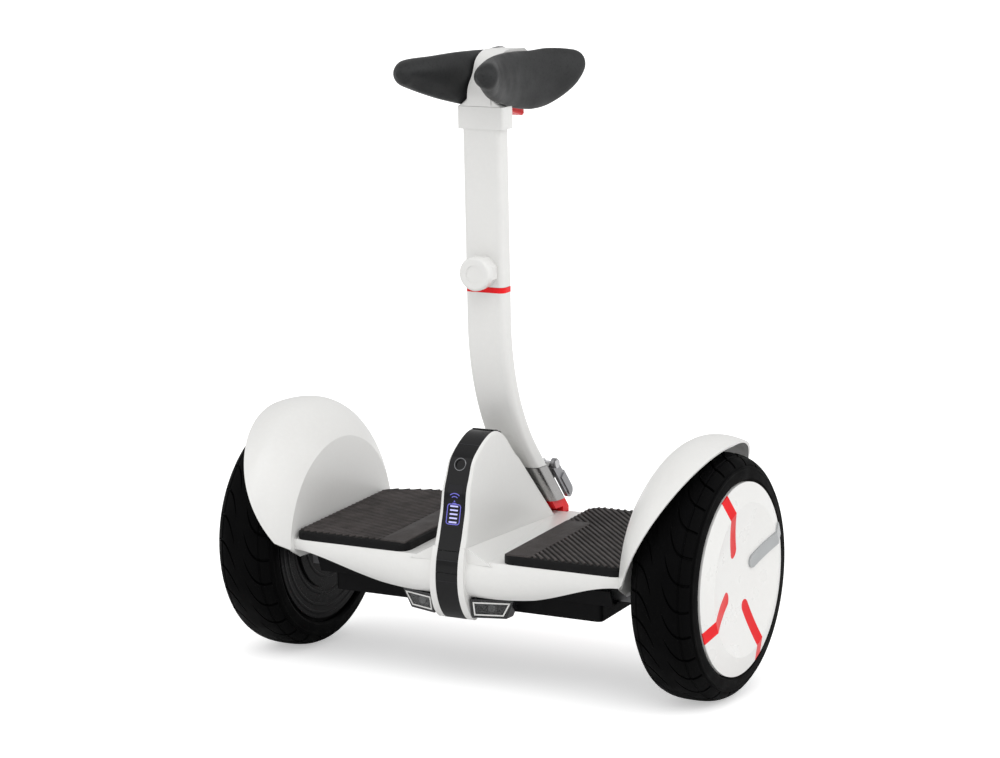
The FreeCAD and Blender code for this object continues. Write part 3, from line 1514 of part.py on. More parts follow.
def make_hinge_block():
    """Red block on the rear end of the steering shaft, with a spigot that carries clamp and bar."""
    foot = foot_point()
    lean = math.radians(bar_foot_lean())
    half = bar_depth / 2 / math.cos(lean)
    deck_z = deck_top_z + block_front_y * math.tan(math.radians(deck_tilt))
    lean_drop = block_half_width * math.sin(math.radians(block_lean_limit))
    front_z = deck_z + lean_drop + block_deck_gap
    rear_run = block_rear_y - foot.y - half
    rows = [(foot.y - half, foot.z), (foot.y + half, foot.z),
            (block_rear_y, foot.z - rear_run / math.tan(lean)),
            (block_rear_y, block_bottom_z), (block_front_y, block_bottom_z), (block_front_y, front_z),
            (foot.y - half + (foot.z - front_z) * math.tan(lean), front_z)]
    face = face_of([V(-block_half_width, y, z) for y, z in rows])
    body = face.extrude(V(2 * block_half_width, 0, 0))
    pin = on_foot(spigot(-spigot_gap, -overrun, clamp_length + spigot_above_clamp))
    bore = tilted(rod_y(block_front_y - overrun * 4, steer_rear_y + fit_gap, 0, steer_axis_z,
                        steer_radius + fit_gap))
    window_y = (block_front_y + block_rear_y) / 2
    window = block(block_half_width - block_window_depth, block_half_width + overrun,
                   window_y - block_window / 2,
                   window_y + block_window / 2, hump_base_z - block_window, hump_base_z)
    return cut_each(union([body, pin]), [bore, window])


def make_steering_shaft():
    """Shaft with an arm that stands between the two rubber stops."""
    rod = rod_y(steer_front_y, steer_rear_y, 0, steer_axis_z, steer_radius)
    arm = block(-steer_arm_half, steer_arm_half, -steer_arm_length / 2, steer_arm_length / 2, steer_axis_z,
                steer_axis_z + steer_arm_rise)
    return tilted(union([rod, arm]))


# Straight part of the bar
def make_ring():
    outer = rounded_bar(bar_width + fit_gap * 2, bar_depth + fit_gap * 2, bar_round, ring_place,
                        ring_place + ring_height)
    hole = rounded_bar(mast_width(), mast_depth(), mast_round(), ring_place - overrun,
                       ring_place + ring_height + overrun)
    return on_mast(outer.cut(hole))


def mast_width():
    return bar_width - 2 * bar_wall - 2 * slide_gap


def mast_depth():
    return bar_depth - 2 * bar_wall - 2 * slide_gap


def mast_round():
    return bar_round - bar_wall


def tube_low():
    return ring_place + ring_height + seat_gap


def tube_high():
    return tube_low() + upper_tube_length


def make_mast():
    """Inner mast that the upper tube slides on."""
    low = ring_place - mast_depth_in_tube
    high = tube_high() - mast_top_gap
    outer = rounded_bar(mast_width() - 2 * fit_gap, mast_depth() - 2 * fit_gap, mast_round() - fit_gap, low,
                        high)
    inner = rounded_bar(mast_width() - 2 * mast_wall, mast_depth() - 2 * mast_wall,
                        mast_round() - mast_wall / 2,
                        low - overrun, high + overrun)
    return on_mast(outer.cut(inner))


def make_upper_tube():
    """Sliding tube with the octagonal boss that guides the knob's spindle."""
    outer = rounded_bar(bar_width, bar_depth, bar_round, tube_low(), tube_high())
    z = tube_low() + knob_up
    radius = boss_across / 2 / math.cos(math.pi / boss_sides)
    front = -bar_depth / 2
    points = []
    for corner in range(boss_sides):
        angle = 2 * math.pi * (corner + 1 / 2) / boss_sides
        points.append(V(radius * math.cos(angle), front - boss_height, z + radius * math.sin(angle)))
    boss = face_of(points).extrude(V(0, boss_height + bar_wall / 2, 0))
    inner = rounded_bar(bar_width - 2 * bar_wall, bar_depth - 2 * bar_wall, bar_round - bar_wall,
                        tube_low() - overrun,
                        tube_high() + overrun)
    bore = rod_y(front - boss_height - overrun, 0, 0, z, spindle_radius + spindle_clearance)
    return on_mast(cut_each(outer.fuse(boss), [inner, bore]))


def make_knob():
    """Clamping knob; its spindle ends just short of the inner mast."""
    z = tube_low() + knob_up
    face = -bar_depth / 2 - boss_height - knob_gap
    disc = rod_y(face - knob_thickness, face, 0, z, knob_radius)
    flat = [edge for edge in disc.Edges if edge.BoundBox.YLength < fit_gap]
    rims = [edge for edge in flat if edge.BoundBox.YMax < face - fit_gap]
    disc = disc.makeFillet(knob_round, rims)
    recess = rod_y(face - knob_thickness - overrun, face - knob_thickness + knob_face_ring_depth, 0, z,
                   knob_face_ring_radius)
    spindle = rod_y(face - overrun, -mast_depth() / 2 - seat_gap, 0, z, spindle_radius)
    return on_mast(union([disc.cut(recess), spindle]))


def make_collar():
    z0 = tube_high()
    z1 = z0 + collar_height
    body = rounded_bar(collar_width, collar_depth, bar_round / 2, z0, z1)
    hole = rounded_bar(head_tube_width + 2 * slide_gap, head_tube_depth + 2 * slide_gap, mast_round() / 2,
                       z0 - overrun,
                       z1 + overrun)
    return on_mast(body.cut(hole))


def spine_rows(shares):
    """Side outline points of the spine, with z from the top of the collar."""
    z0 = tube_high() + collar_height + seat_gap
    return [V(0, spine_reach * y_share, z0 + spine_height * z_share) for y_share, z_share in shares]


def make_head_spine():
    """Neck and spine between the knee pads."""
    z0 = tube_high() + collar_height + seat_gap
    front = spine_rows(spine_front_shares)
    rear = spine_rows(spine_rear_shares)
    edges = [curve(front), line(front[-1], rear[0]), curve(rear), line(rear[-1], front[0])]
    side = Part.Face(Part.Wire(edges))
    side.translate(V(-spine_half_width, 0, 0))
    body = side.extrude(V(2 * spine_half_width, 0, 0))
    loops = []
    for rise, share in zip(neck_rises, neck_width_shares):
        loops.append(rounded_section(collar_width * share, collar_depth, bar_round / 2, z0 + rise))
    neck = Part.makeLoft(loops, True, False)
    stem_half = trigger_stem_width / 2 + trigger_slide_gap
    stem_front = trigger_front + collar_depth / 2 - trigger_slide_gap
    stem_rear = stem_front + trigger_stem_length + 2 * trigger_slide_gap
    slot = block(-stem_half, stem_half, stem_front, stem_rear, z0 - overrun,
                 z0 + trigger_stem_rise + trigger_travel + seat_gap)
    room = block(-spine_half_width - overrun, spine_half_width + overrun, collar_depth / 2 + trigger_gap,
                 spine_reach * 2, z0 - overrun, z0 + trigger_travel + trigger_gap)
    return on_mast(cut_each(union([body, neck]), [slot, room]))


def make_head_tube():
    z1 = tube_high() + collar_height + seat_gap
    z0 = z1 - head_tube_length
    outer = rounded_bar(head_tube_width, head_tube_depth, mast_round() / 2, z0, z1)
    inner = rounded_bar(head_tube_width - 2 * head_tube_wall, head_tube_depth - 2 * head_tube_wall,
                        mast_round() / 4, z0 - overrun, z1 - bar_wall)
    return on_mast(outer.cut(inner))


def make_trigger():
    """Hand lever behind the collar that is pulled up to free the head."""
    z1 = tube_high() + collar_height
    y0 = collar_depth / 2 + 2 * trigger_gap
    y1 = y0 + trigger_reach
    half = trigger_width / 2
    rows = [(y0, z1), (y1, z1), (y1, z1 - trigger_thickness / 2),
            (y0 + trigger_front, z1 - trigger_thickness),
            (y0, z1 - trigger_thickness)]
    body = face_of([V(-half, y, z) for y, z in rows]).extrude(V(trigger_width, 0, 0))
    stem_front = trigger_front + collar_depth / 2
    stem = block(-trigger_stem_width / 2, trigger_stem_width / 2, stem_front,
                 stem_front + trigger_stem_length,
                 z1 - overrun, z1 + trigger_stem_rise)
    return on_mast(union([body, stem]))


def head_room():
    """Collar and neck grown by a gap, which the knee pads leave free."""
    z0 = tube_high() + collar_height + seat_gap
    wide = collar_width + 2 * seat_gap
    deep = collar_depth + 2 * seat_gap
    loops = []
    for rise, share in zip(neck_rises, neck_width_shares):
        loops.append(rounded_section(collar_width * share + 2 * seat_gap, deep, bar_round / 2,
                                     z0 + rise + seat_gap))
    around = rounded_bar(wide, deep, bar_round / 2, z0 - collar_height, z0 + 2 * seat_gap)
    return [on_mast(around), on_mast(Part.makeLoft(loops, True, False))]


def make_pad():
    """Right knee pad: oval sections along a line that bows towards the spine."""
    loops = []
    base = bend_points()[2] + heading(bar_lean) * (tube_high() + collar_height + seat_gap)
    length = pad_front_reach + pad_rear_reach
    rows = zip(pad_station_shares, pad_height_shares, pad_centre_shares, pad_thickness_shares,
               pad_lift_shares)
    for along, height, centre, thickness, lift in rows:
        middle = V(pad_spread * centre, base.y - pad_front_reach + length * along,
                   base.z + pad_rise + pad_half_height * lift)
        points = []
        for number in range(pad_ring_points):
            angle = 2 * math.pi * number / pad_ring_points
            points.append(middle + V(pad_spread * thickness * math.cos(angle), 0,
                                     pad_half_height * height * math.sin(angle)))
        ring = Part.BSplineCurve()
        ring.interpolate(points, PeriodicFlag=True)
        loops.append(Part.Wire([ring.toShape()]))
    return cut_each(Part.makeLoft(loops, True, False), head_room())


def main():
    os.makedirs("parts", exist_ok=True)
    both("tyre", make_tyre())
    both("rim", make_rim())
    both("motor_covers",
         Part.makeCompound([make_motor_cover(flange_inner_x, -1), make_motor_cover(outer_cover_x, 1)]))
    both("magnet_ring", make_magnets())
    both("hubcap", make_hubcap())
    both("hubcap_inlays", make_inlays())
    both("valve_cover", make_valve_cover())
    pair("stators", make_stator())
    pair("coils", make_coils())
    pair("axles", Part.makeCompound([make_axle(), make_axle_nut()]))
    pair("wheel_bearings",
         Part.makeCompound([make_bearing(flange_inner_x, -1), make_bearing(outer_cover_x, 1)]))
    both("fender", make_fender())
    pair("fender_screws", make_fender_screws())
    save("deck_shell", make_deck_shell())
    save("hump_shell", make_hump())
    band = strip_band()
    seam_high, seam_low = strip_seams_z
    gap = strip_seam_gap / 2
    save("strip_top", make_strip_top(band))
    chin_rear = chin_depth - nose_reach
    save("strip_lower", Part.makeCompound([strip_part(band, seam_low + gap, seam_high - gap, chin_rear),
                                           strip_part(band, chin_bottom_z, seam_low - gap, chin_rear)]))
    save("display_window", make_display_window(band))
    save("power_button", make_button())
    pair("headlamp_bezels", make_lamp_bezel())
    pair("headlamp_lenses", make_lamp_lens())
    pair("headlamp_leds", make_lamp_led())
    pair("tail_lamps", make_tail_lamp())
    both("foot_mat", make_mat())
    pair("foot_sensors", make_sensor())
    save("chassis_frame", make_frame())
    save("lower_tray", make_tray())
    save("battery_pack", make_battery())
    save("battery_bolts", make_battery_bolts())
    save("control_board", make_board())
    save("charge_inlet", make_inlet())
    save("inlet_cap", make_inlet_cap())
    save("steering_bearings", make_steer_bearings())
    save("steering_stops", make_steer_stops())
    save("steering_shaft", make_steering_shaft())
    save("hinge_block", make_hinge_block())
    save("clamp", make_clamp())
    save("latch_lever", make_latch_lever())
    save("latch_pin", make_latch_pin())
    save("lower_tube", make_lower_tube())
    save("red_ring", make_ring())
    save("inner_mast", make_mast())
    save("upper_tube", make_upper_tube())
    save("height_knob", make_knob())
    save("collar", make_collar())
    save("head_spine", make_head_spine())
    save("head_tube", make_head_tube())
    save("release_trigger", make_trigger())
    both("knee_pad", make_pad())


main()
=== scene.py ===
import math
import bmesh
import bpy
from mathutils import Matrix, Vector


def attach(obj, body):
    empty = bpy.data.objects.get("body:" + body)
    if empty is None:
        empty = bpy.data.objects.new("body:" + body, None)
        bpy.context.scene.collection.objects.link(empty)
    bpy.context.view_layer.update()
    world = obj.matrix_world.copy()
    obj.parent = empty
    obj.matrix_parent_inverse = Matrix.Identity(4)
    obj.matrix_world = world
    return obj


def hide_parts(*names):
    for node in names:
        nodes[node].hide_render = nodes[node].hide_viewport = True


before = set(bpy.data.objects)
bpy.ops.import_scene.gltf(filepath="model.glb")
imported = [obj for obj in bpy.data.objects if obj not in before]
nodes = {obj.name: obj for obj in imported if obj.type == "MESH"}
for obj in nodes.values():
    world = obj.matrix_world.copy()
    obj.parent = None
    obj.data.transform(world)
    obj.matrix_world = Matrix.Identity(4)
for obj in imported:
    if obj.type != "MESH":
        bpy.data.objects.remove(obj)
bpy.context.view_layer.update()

# Camera: the photograph's viewpoint, solved from the object's own lines
camera_place = Vector((1.4775, -2.7002, 0.8061))
camera_target = Vector((0.0009, 0.0005, 0.3016))
camera_lens = 110.62
camera_sensor = 36.0

# Stage and light, with each sun's spread in degrees
floor_size = 40.0
floor_grey = 0.93
floor_rough = 0.9
floor_lift = 0.42
world_strength = 0.72
suns = {
    "key": {"place": (0.9, -1.5, 2.2), "strength": 0.7, "spread": 50.0},
    "fill": {"place": (-2.0, -1.6, 1.4), "strength": 0.45, "spread": 60.0},
    "side": {"place": (2.4, 0.2, 1.0), "strength": 0.9, "spread": 60.0},
}

# Both sides, by the sign of x and by name
sides = ((-1, "left"), (1, "right"))

# Angles in degrees, and the angle past which an edge stays sharp
quarter_turn = 90.0
half_turn = 180.0
usual_sharp = 35.0
tread_sharp = 28.0
pad_sharp = 60.0
fender_sharp = 30.0
trigger_sharp = 40.0
mat_sharp = 40.0

# Meshes: axes of space, corners of the largest face kept whole, steps of rounded corners and edges,
# the y from which rays start, and the reach and least slant of a line that is cut by an outline
space_axes = 3
quad_corners = 4
corner_steps = 6
edge_steps = 4
ray_start = -1.0
line_reach = 1.0
parallel_limit = 1e-9

# Tyre and its tread, metres
wheel_x = 0.2372
tyre_radius = 0.1235
tyre_half = 0.0337
tyre_base = 0.0976
tyre_power = 2.82
tyre_row_step = 2.0
bead_outer = 0.0215
bead_inner = 0.0281
bead_radius = 0.0826
foot_inset = 0.0024
groove_count = 28
# Places along one groove's pitch, each with its share of the groove's depth
groove_columns = ((0.0, 0), (0.018, 1), (0.060, 1), (0.102, 1), (0.12, 0), (0.25, 0), (0.4, 0), (0.55, 0),
                  (0.7, 0), (0.85, 0), (0.94, 0))
groove_depth = 0.0024
groove_length = 0.037
groove_bend_power = 3
groove_centre_share = 0.10
groove_edge_share = 0.90
groove_out = (27.0, 31.0)
groove_in = (80.0, 86.0)
fine_groove_angle = 57.0
fine_groove_half = 2.6
fine_groove_depth = 0.0009
side_ring_angle = 20.0
side_ring_half = 4.2
side_ring_height = 0.0005
side_ditch_angle = 26.0
side_ditch_depth = 0.0007

# Neck of the steering bar, and the knee pads with their shares of the spread and half height along a pad
bar_top = Vector((0, -0.0291983, 0.5809138))
bar_lean = 2.4
collar_width = 0.052
collar_depth = 0.022
neck_rises = (0.0, 0.004, 0.010)
neck_shares = (0.97, 0.72, 0.52)
pad_gap = 0.0004
pad_front = 0.0913
pad_rear = 0.1237
pad_rise = 0.0251
pad_half_height = 0.0306
pad_spread = 0.0561
pad_stations = (0.0, 0.02, 0.065, 0.20, 0.36, 0.52, 0.66, 0.80, 0.92, 0.98, 1.0)
pad_height_shares = (0.12, 0.30, 0.44, 0.655, 0.823, 0.927, 0.966, 0.924, 0.675, 0.391, 0.12)
pad_centre_shares = (0.802, 0.802, 0.802, 0.60, 0.475, 0.418, 0.44, 0.516, 0.676, 0.756, 0.766)
pad_thickness_shares = (0.06, 0.16, 0.22, 0.20, 0.185, 0.175, 0.18, 0.19, 0.20, 0.15, 0.06)
pad_lift_shares = (0.302, 0.302, 0.302, 0.174, 0.079, -0.007, -0.059, 0.023, 0.204, 0.361, 0.361)
pad_rings = 60
pad_points = 40
pad_seam_depth = 0.02
pad_seam_share = 0.10

# Foot mats in the level chassis, which is then tilted with the deck
deck_tilt = 4.0
mat_base = 0.1411
mat_height = 0.0100
mat_x = (0.0540, 0.1866)
mat_y = (-0.0950, 0.1050)
mat_rear_cut = (0.052, 0.017)
mat_inner_cut = 0.009
mat_corner = 0.012
mat_round = 0.0030
mat_floor_drop = 0.0015
rib_pitch = 0.0055
rib_half = 0.0015
rib_slope = 0.0004
rib_angle = 45.0
rib_margin = 0.0042
rib_edge_steps = 2
band_width = 0.032
band_rear = 0.043
band_round = 0.0012

# Icons on the display
icon_line = 0.0009
icon_bar = 0.0015
icon_proud = 0.00015
signal_z = 0.1915
signal_radii = (0.0048, 0.0078)
signal_angles = (48.0, 132.0)
arc_steps = 14
dot_turn = 330.0
dot_steps = 10
dot_radius_share = 0.45
dot_line_share = 0.85
battery_half = 0.0074
battery_low = 0.1690
battery_high = 0.1885
battery_corner = 0.0026
terminal_half = 0.0022
terminal_rise_share = 1.1
bar_count = 5
bar_half = 0.0044

# Fenders: the crease is drawn in and the front tip cut off above the deck's end
fender_disc_x = 0.1875
fender_crown_x = 0.2402
fender_crease_radius = 0.1115
fender_draw_in = 0.0094
fender_draw_power = 3
fender_disc_power = 8
tip_cut_place = (-0.101, 0.1235)
tip_cut_angle = 30.0

# Release trigger in the frame of the bar's top: side view as y and z, and the stem's half width,
# front, rear, low and high
trigger_half = 0.009
trigger_round = 0.0012
trigger_side = ((0.0116, -0.0070), (0.0360, -0.0090), (0.0540, -0.0135), (0.0630, -0.0165), (0.0656, -0.0150),
                (0.0656, -0.0105), (0.0620, -0.0060), (0.0500, -0.0022), (0.0360, -0.0005), (0.0116, 0.0))
trigger_stem = (0.005, 0.0230, 0.0310, -0.0010, 0.0120)

# Seams across the strip, rim round each lamp window and ring round the button
seam_heights = (0.2440, 0.1340, 0.1130)
seam_line = 0.0006
seam_half = 0.0119
seam_steps = 12
lamp_rim_line = 0.0013
lamp_rim_proud = 0.0005
lamp_rim_steps = 8
lamp_corners = ((0.0242, 0.0788), (0.0522, 0.0788), (0.0604, 0.0930), (0.0242, 0.0930))
button_place = Vector((0, -0.08033, 0.22697))
button_facing = Vector((0, -0.918, 0.396))
button_ring_radius = 0.0062
button_ring_line = 0.0006
button_ring_columns = 48
button_ring_points = 10

# Steps round the motor cover on the wheel's inner side
step_radii = (0.087, 0.079, 0.066, 0.048)
step_line = 0.0011
step_share_sunk = 0.4
step_ray_angle = 45.0
step_columns = 96
step_points = 8

# Colours, linear
white_paint = (0.735, 0.732, 0.716)
soft_black = (0.004, 0.004, 0.0043)
gloss_black = (0.003, 0.003, 0.0035)
rubber_black = (0.0012, 0.0012, 0.0013)
# Mat ribs and band: painted sheen, a grey lighter than the mat's black edge that stands in for the ribs'
# grazing reflections
mat_grey_painted_sheen = (0.036, 0.031, 0.030)
pad_grey = (0.017, 0.0175, 0.018)
signal_red = (0.70, 0.010, 0.014)
lens_red = (0.42, 0.010, 0.010)
cover_grey = (0.33, 0.34, 0.345)
metal_grey = (0.56, 0.56, 0.57)
dark_metal = (0.16, 0.16, 0.165)
rim_black = (0.006, 0.006, 0.0065)
ring_grey = (0.20, 0.20, 0.21)
seam_grey = (0.022, 0.022, 0.024)
copper = (0.52, 0.22, 0.10)
board_green = (0.012, 0.11, 0.045)
icon_light = (0.50, 0.50, 0.90)
icon_violet = (0.13, 0.12, 0.52)
display_black = (0.004, 0.004, 0.006)
bezel_black = (0.010, 0.010, 0.011)
diode_grey = (0.16, 0.16, 0.15)
lens_grey = (0.62, 0.63, 0.64)
clamp_grey = (0.37, 0.365, 0.36)
latch_grey = (0.30, 0.30, 0.31)
mast_grey = (0.40, 0.40, 0.41)
iron_grey = (0.28, 0.28, 0.29)

# Surfaces. Each kind has values for the shader's inputs, values for its patterns, and steps.
# A step says what it changes and by which pattern, and ends with its own values:
# tint has the share of the colour, and the pattern's span where it isn't the usual one,
# shift has none, roughen has the change of roughness at the pattern's low and high end,
# bump has a distance and a strength, relief has a strength, and wear has the share of
# the colour and the amount.
# A pattern is a noise or a brushed noise with its scale and detail, the cell grain, or the convex edges.
usual_span = (0.3, 0.7)
whole_span = (0.0, 1.0)
even_stretch = (1, 1, 1)
edge_span = (0.52, 0.60)
edge_noise = ("noise", 60.0, 5.0)
edge_noise_span = (0.42, 0.62)
brush_lines = ("brush", 260.0, 5.0)

paint = {
    "inputs": {"Coat Weight": 0.25, "Coat Roughness": 0.22},
    "values": {},
    "steps": (
        ("tint", ("noise", 9.0, 2.0), 0.985),
        ("tint", ("noise", 240.0, 4.0), 1.01, (0.45, 0.75)),
        ("roughen", ("noise", 38.0, 4.0), -0.05, 0.07),
        ("bump", ("noise", 900.0, 2.0), 0.00004, 0.4),
        ("bump", ("noise", 60.0, 2.0), 0.00004, 0.25),
        ("wear", ("edges",), 0.90, 0.12),
    ),
}

rubber = {
    "inputs": {"Specular IOR Level": 0.15},
    "values": {"grain": 1400.0, "depth": 0.00012},
    "steps": (
        ("tint", ("noise", 14.0, 3.0), 1.45),
        ("tint", ("noise", 420.0, 3.0), 0.70, (0.5, 0.8)),
        ("roughen", ("noise", 55.0, 4.0), -0.08, 0.10),
        ("relief", ("cells",), 0.6),
        ("relief", ("noise", 300.0, 3.0), 0.4),
        ("wear", ("edges",), 2.2, 0.5),
    ),
}

plastic = {
    "inputs": {"Specular IOR Level": 0.5, "Coat Weight": 0.0, "Coat Roughness": 0.08},
    "values": {"grain": 1100.0, "depth": 0.00008, "shift": 1.25},
    "steps": (
        ("shift", ("noise", 20.0, 3.0)),
        ("roughen", ("noise", 70.0, 3.0), -0.06, 0.06),
        ("relief", ("cells",), 0.5),
        ("wear", ("edges",), 1.6, 0.4),
    ),
}

gloss = {
    "inputs": {"Specular IOR Level": 0.22, "Coat Weight": 0.06, "Coat Roughness": 0.04},
    "values": {},
    "steps": (
        ("tint", ("noise", 16.0, 2.0), 1.3),
        ("roughen", ("noise", 90.0, 5.0), -0.02, 0.06),
        ("bump", ("noise", 70.0, 2.0), 0.00004, 0.3),
    ),
}

cast_metal = {
    "inputs": {"Metallic": 1.0},
    "values": {},
    "steps": (
        ("tint", ("noise", 30.0, 3.0), 0.93),
        ("bump", ("noise", 700.0, 4.0), 0.00022, 0.7),
        ("roughen", ("noise", 200.0, 3.0), -0.05, 0.12),
        ("wear", ("edges",), 1.2, 0.2),
    ),
}

brushed_metal = {
    "inputs": {"Metallic": 1.0},
    "values": {},
    "steps": (
        ("tint", ("noise", 30.0, 3.0), 0.93),
        ("roughen", brush_lines, -0.06, 0.08),
        ("bump", brush_lines, 0.00002, 0.35),
        ("tint", brush_lines, 1.12, (0.5, 0.8)),
        ("wear", ("edges",), 1.2, 0.2),
    ),
}

clear = {
    "inputs": {"Transmission Weight": 1.0, "Specular IOR Level": 0.3, "IOR": 1.49},
    "values": {},
    "steps": (
        ("roughen", ("noise", 60.0, 3.0), -0.02, 0.04),
        ("bump", ("noise", 40.0, 1.0), 0.00005, 0.2),
    ),
}

lit = {
    "inputs": {},
    "values": {},
    "steps": (
        ("tint", ("noise", 900.0, 2.0), 0.8),
        ("roughen", ("noise", 400.0, 2.0), -0.05, 0.10),
    ),
}

# Finishes: name, kind of surface, colour, roughness, and the values and inputs that differ from the kind's
finishes = {
    "white": ("shell_white", paint, white_paint, 0.34, {}, {}),
    "cap": ("hubcap_white", paint, white_paint, 0.30, {}, {}),
    "bar": ("bar_white", paint, white_paint, 0.36, {}, {}),
    "lamp_rim": ("lamp_rim_white", paint, white_paint, 0.30, {}, {}),
    "red": ("signal_red", plastic, signal_red, 0.34, {"grain": 1500.0, "depth": 0.00004, "shift": 0.965},
            {"Coat Weight": 0.03, "Specular IOR Level": 0.14}),
    "black": ("moulded_black", plastic, soft_black, 0.50, {}, {"Specular IOR Level": 0.06}),
    "cover": ("valve_cover_grey", plastic, cover_grey, 0.38, {}, {}),
    "rim": ("rim_black", plastic, rim_black, 0.30, {"grain": 900.0, "depth": 0.00005},
            {"Specular IOR Level": 0.06}),
    "motor": ("motor_cover_black", plastic, soft_black, 0.28, {"grain": 900.0, "depth": 0.00005},
              {"Specular IOR Level": 0.06}),
    "seam": ("strip_seam", plastic, seam_grey, 0.45, {}, {"Specular IOR Level": 0.1}),
    "board": ("board_green", plastic, board_green, 0.30, {"grain": 500.0, "depth": 0.00015},
              {"Coat Weight": 0.4}),
    "bezel": ("lamp_bezel", plastic, bezel_black, 0.22, {"grain": 1500.0, "depth": 0.00003},
              {"Coat Weight": 0.2, "Specular IOR Level": 0.4}),
    "led": ("lamp_diode", plastic, diode_grey, 0.20, {"grain": 900.0, "depth": 0.00005},
            {"Coat Weight": 0.2}),
    "tyre": ("tyre_rubber", rubber, rubber_black, 0.58, {}, {"Specular IOR Level": 0.035}),
    # Grey mat finish for the ribs and band: painted sheen for the ribs' grazing reflections, set against the
    # black edge finish below
    "mat": ("mat_rubber", rubber, mat_grey_painted_sheen, 0.58, {}, {"Specular IOR Level": 0.25}),
    "mat_edge": ("mat_edge_rubber", rubber, soft_black, 0.50, {}, {"Specular IOR Level": 0.12}),
    "pad": ("pad_rubber", rubber, pad_grey, 0.46, {"grain": 1900.0, "depth": 0.00006},
            {"Specular IOR Level": 0.22}),
    "seal": ("seal_rubber", rubber, soft_black, 0.60, {}, {}),
    "gloss": ("strip_black", gloss, gloss_black, 0.10, {}, {}),
    "tail": ("tail_lens_red", gloss, lens_red, 0.12, {}, {}),
    "display": ("display_black", gloss, display_black, 0.06, {}, {}),
    "steel": ("plain_steel", brushed_metal, metal_grey, 0.30, {"brush": (1, 1, 6)}, {}),
    "clamp": ("clamp_steel", brushed_metal, clamp_grey, 0.30, {"brush": (1, 1, 14)}, {}),
    "latch": ("latch_steel", brushed_metal, latch_grey, 0.36, {"brush": (1, 1, 5)}, {}),
    "mast": ("mast_aluminium", brushed_metal, mast_grey, 0.34, {"brush": (8, 8, 1)}, {}),
    "ring": ("button_ring", brushed_metal, ring_grey, 0.22, {"brush": even_stretch}, {}),
    "copper": ("copper_wire", brushed_metal, copper, 0.34, {"brush": (1, 30, 30)}, {}),
    "frame": ("cast_frame", cast_metal, dark_metal, 0.52, {}, {}),
    "iron": ("motor_iron", cast_metal, iron_grey, 0.50, {}, {}),
    "lens": ("lamp_lens", clear, lens_grey, 0.04, {}, {}),
    "icon": ("icon_light", lit, icon_light, 0.30, {},
             {"Emission Color": (*icon_light, 1), "Emission Strength": 0.36}),
    "icon_line": ("icon_violet", lit, icon_violet, 0.30, {},
                  {"Emission Color": (*icon_violet, 1), "Emission Strength": 0.34}),
}

# Finish of each solid, by the start of its name
finish_of = {
    "axles": "steel", "battery_bolts": "steel", "battery_pack": "black", "charge_inlet": "black",
    "chassis_frame": "frame", "clamp": "clamp", "coils": "copper", "collar": "white",
    "control_board": "board", "deck_shell": "white", "display_window": "display", "fender": "white",
    "fender_screws": "steel", "foot_mat": "mat", "foot_sensors": "black", "head_spine": "white",
    "head_tube": "mast", "headlamp_bezels": "bezel", "headlamp_leds": "led",
    "headlamp_lenses": "lens", "height_knob": "white", "hinge_block": "red", "hubcap": "cap",
    "hubcap_inlays": "red", "hump_shell": "white", "inlet_cap": "seal", "inner_mast": "mast",
    "knee_pad": "pad", "latch_lever": "latch", "latch_pin": "steel", "lower_tray": "black",
    "lower_tube": "bar", "magnet_ring": "steel", "motor_covers": "motor", "power_button": "gloss",
    "red_ring": "red", "release_trigger": "red", "rim": "rim", "stators": "iron",
    "steering_bearings": "steel", "steering_shaft": "steel", "steering_stops": "seal",
    "strip": "gloss", "tail_lamps": "tail", "tyre": "tyre", "upper_tube": "bar",
    "valve_cover": "cover", "wheel_bearings": "steel",
}


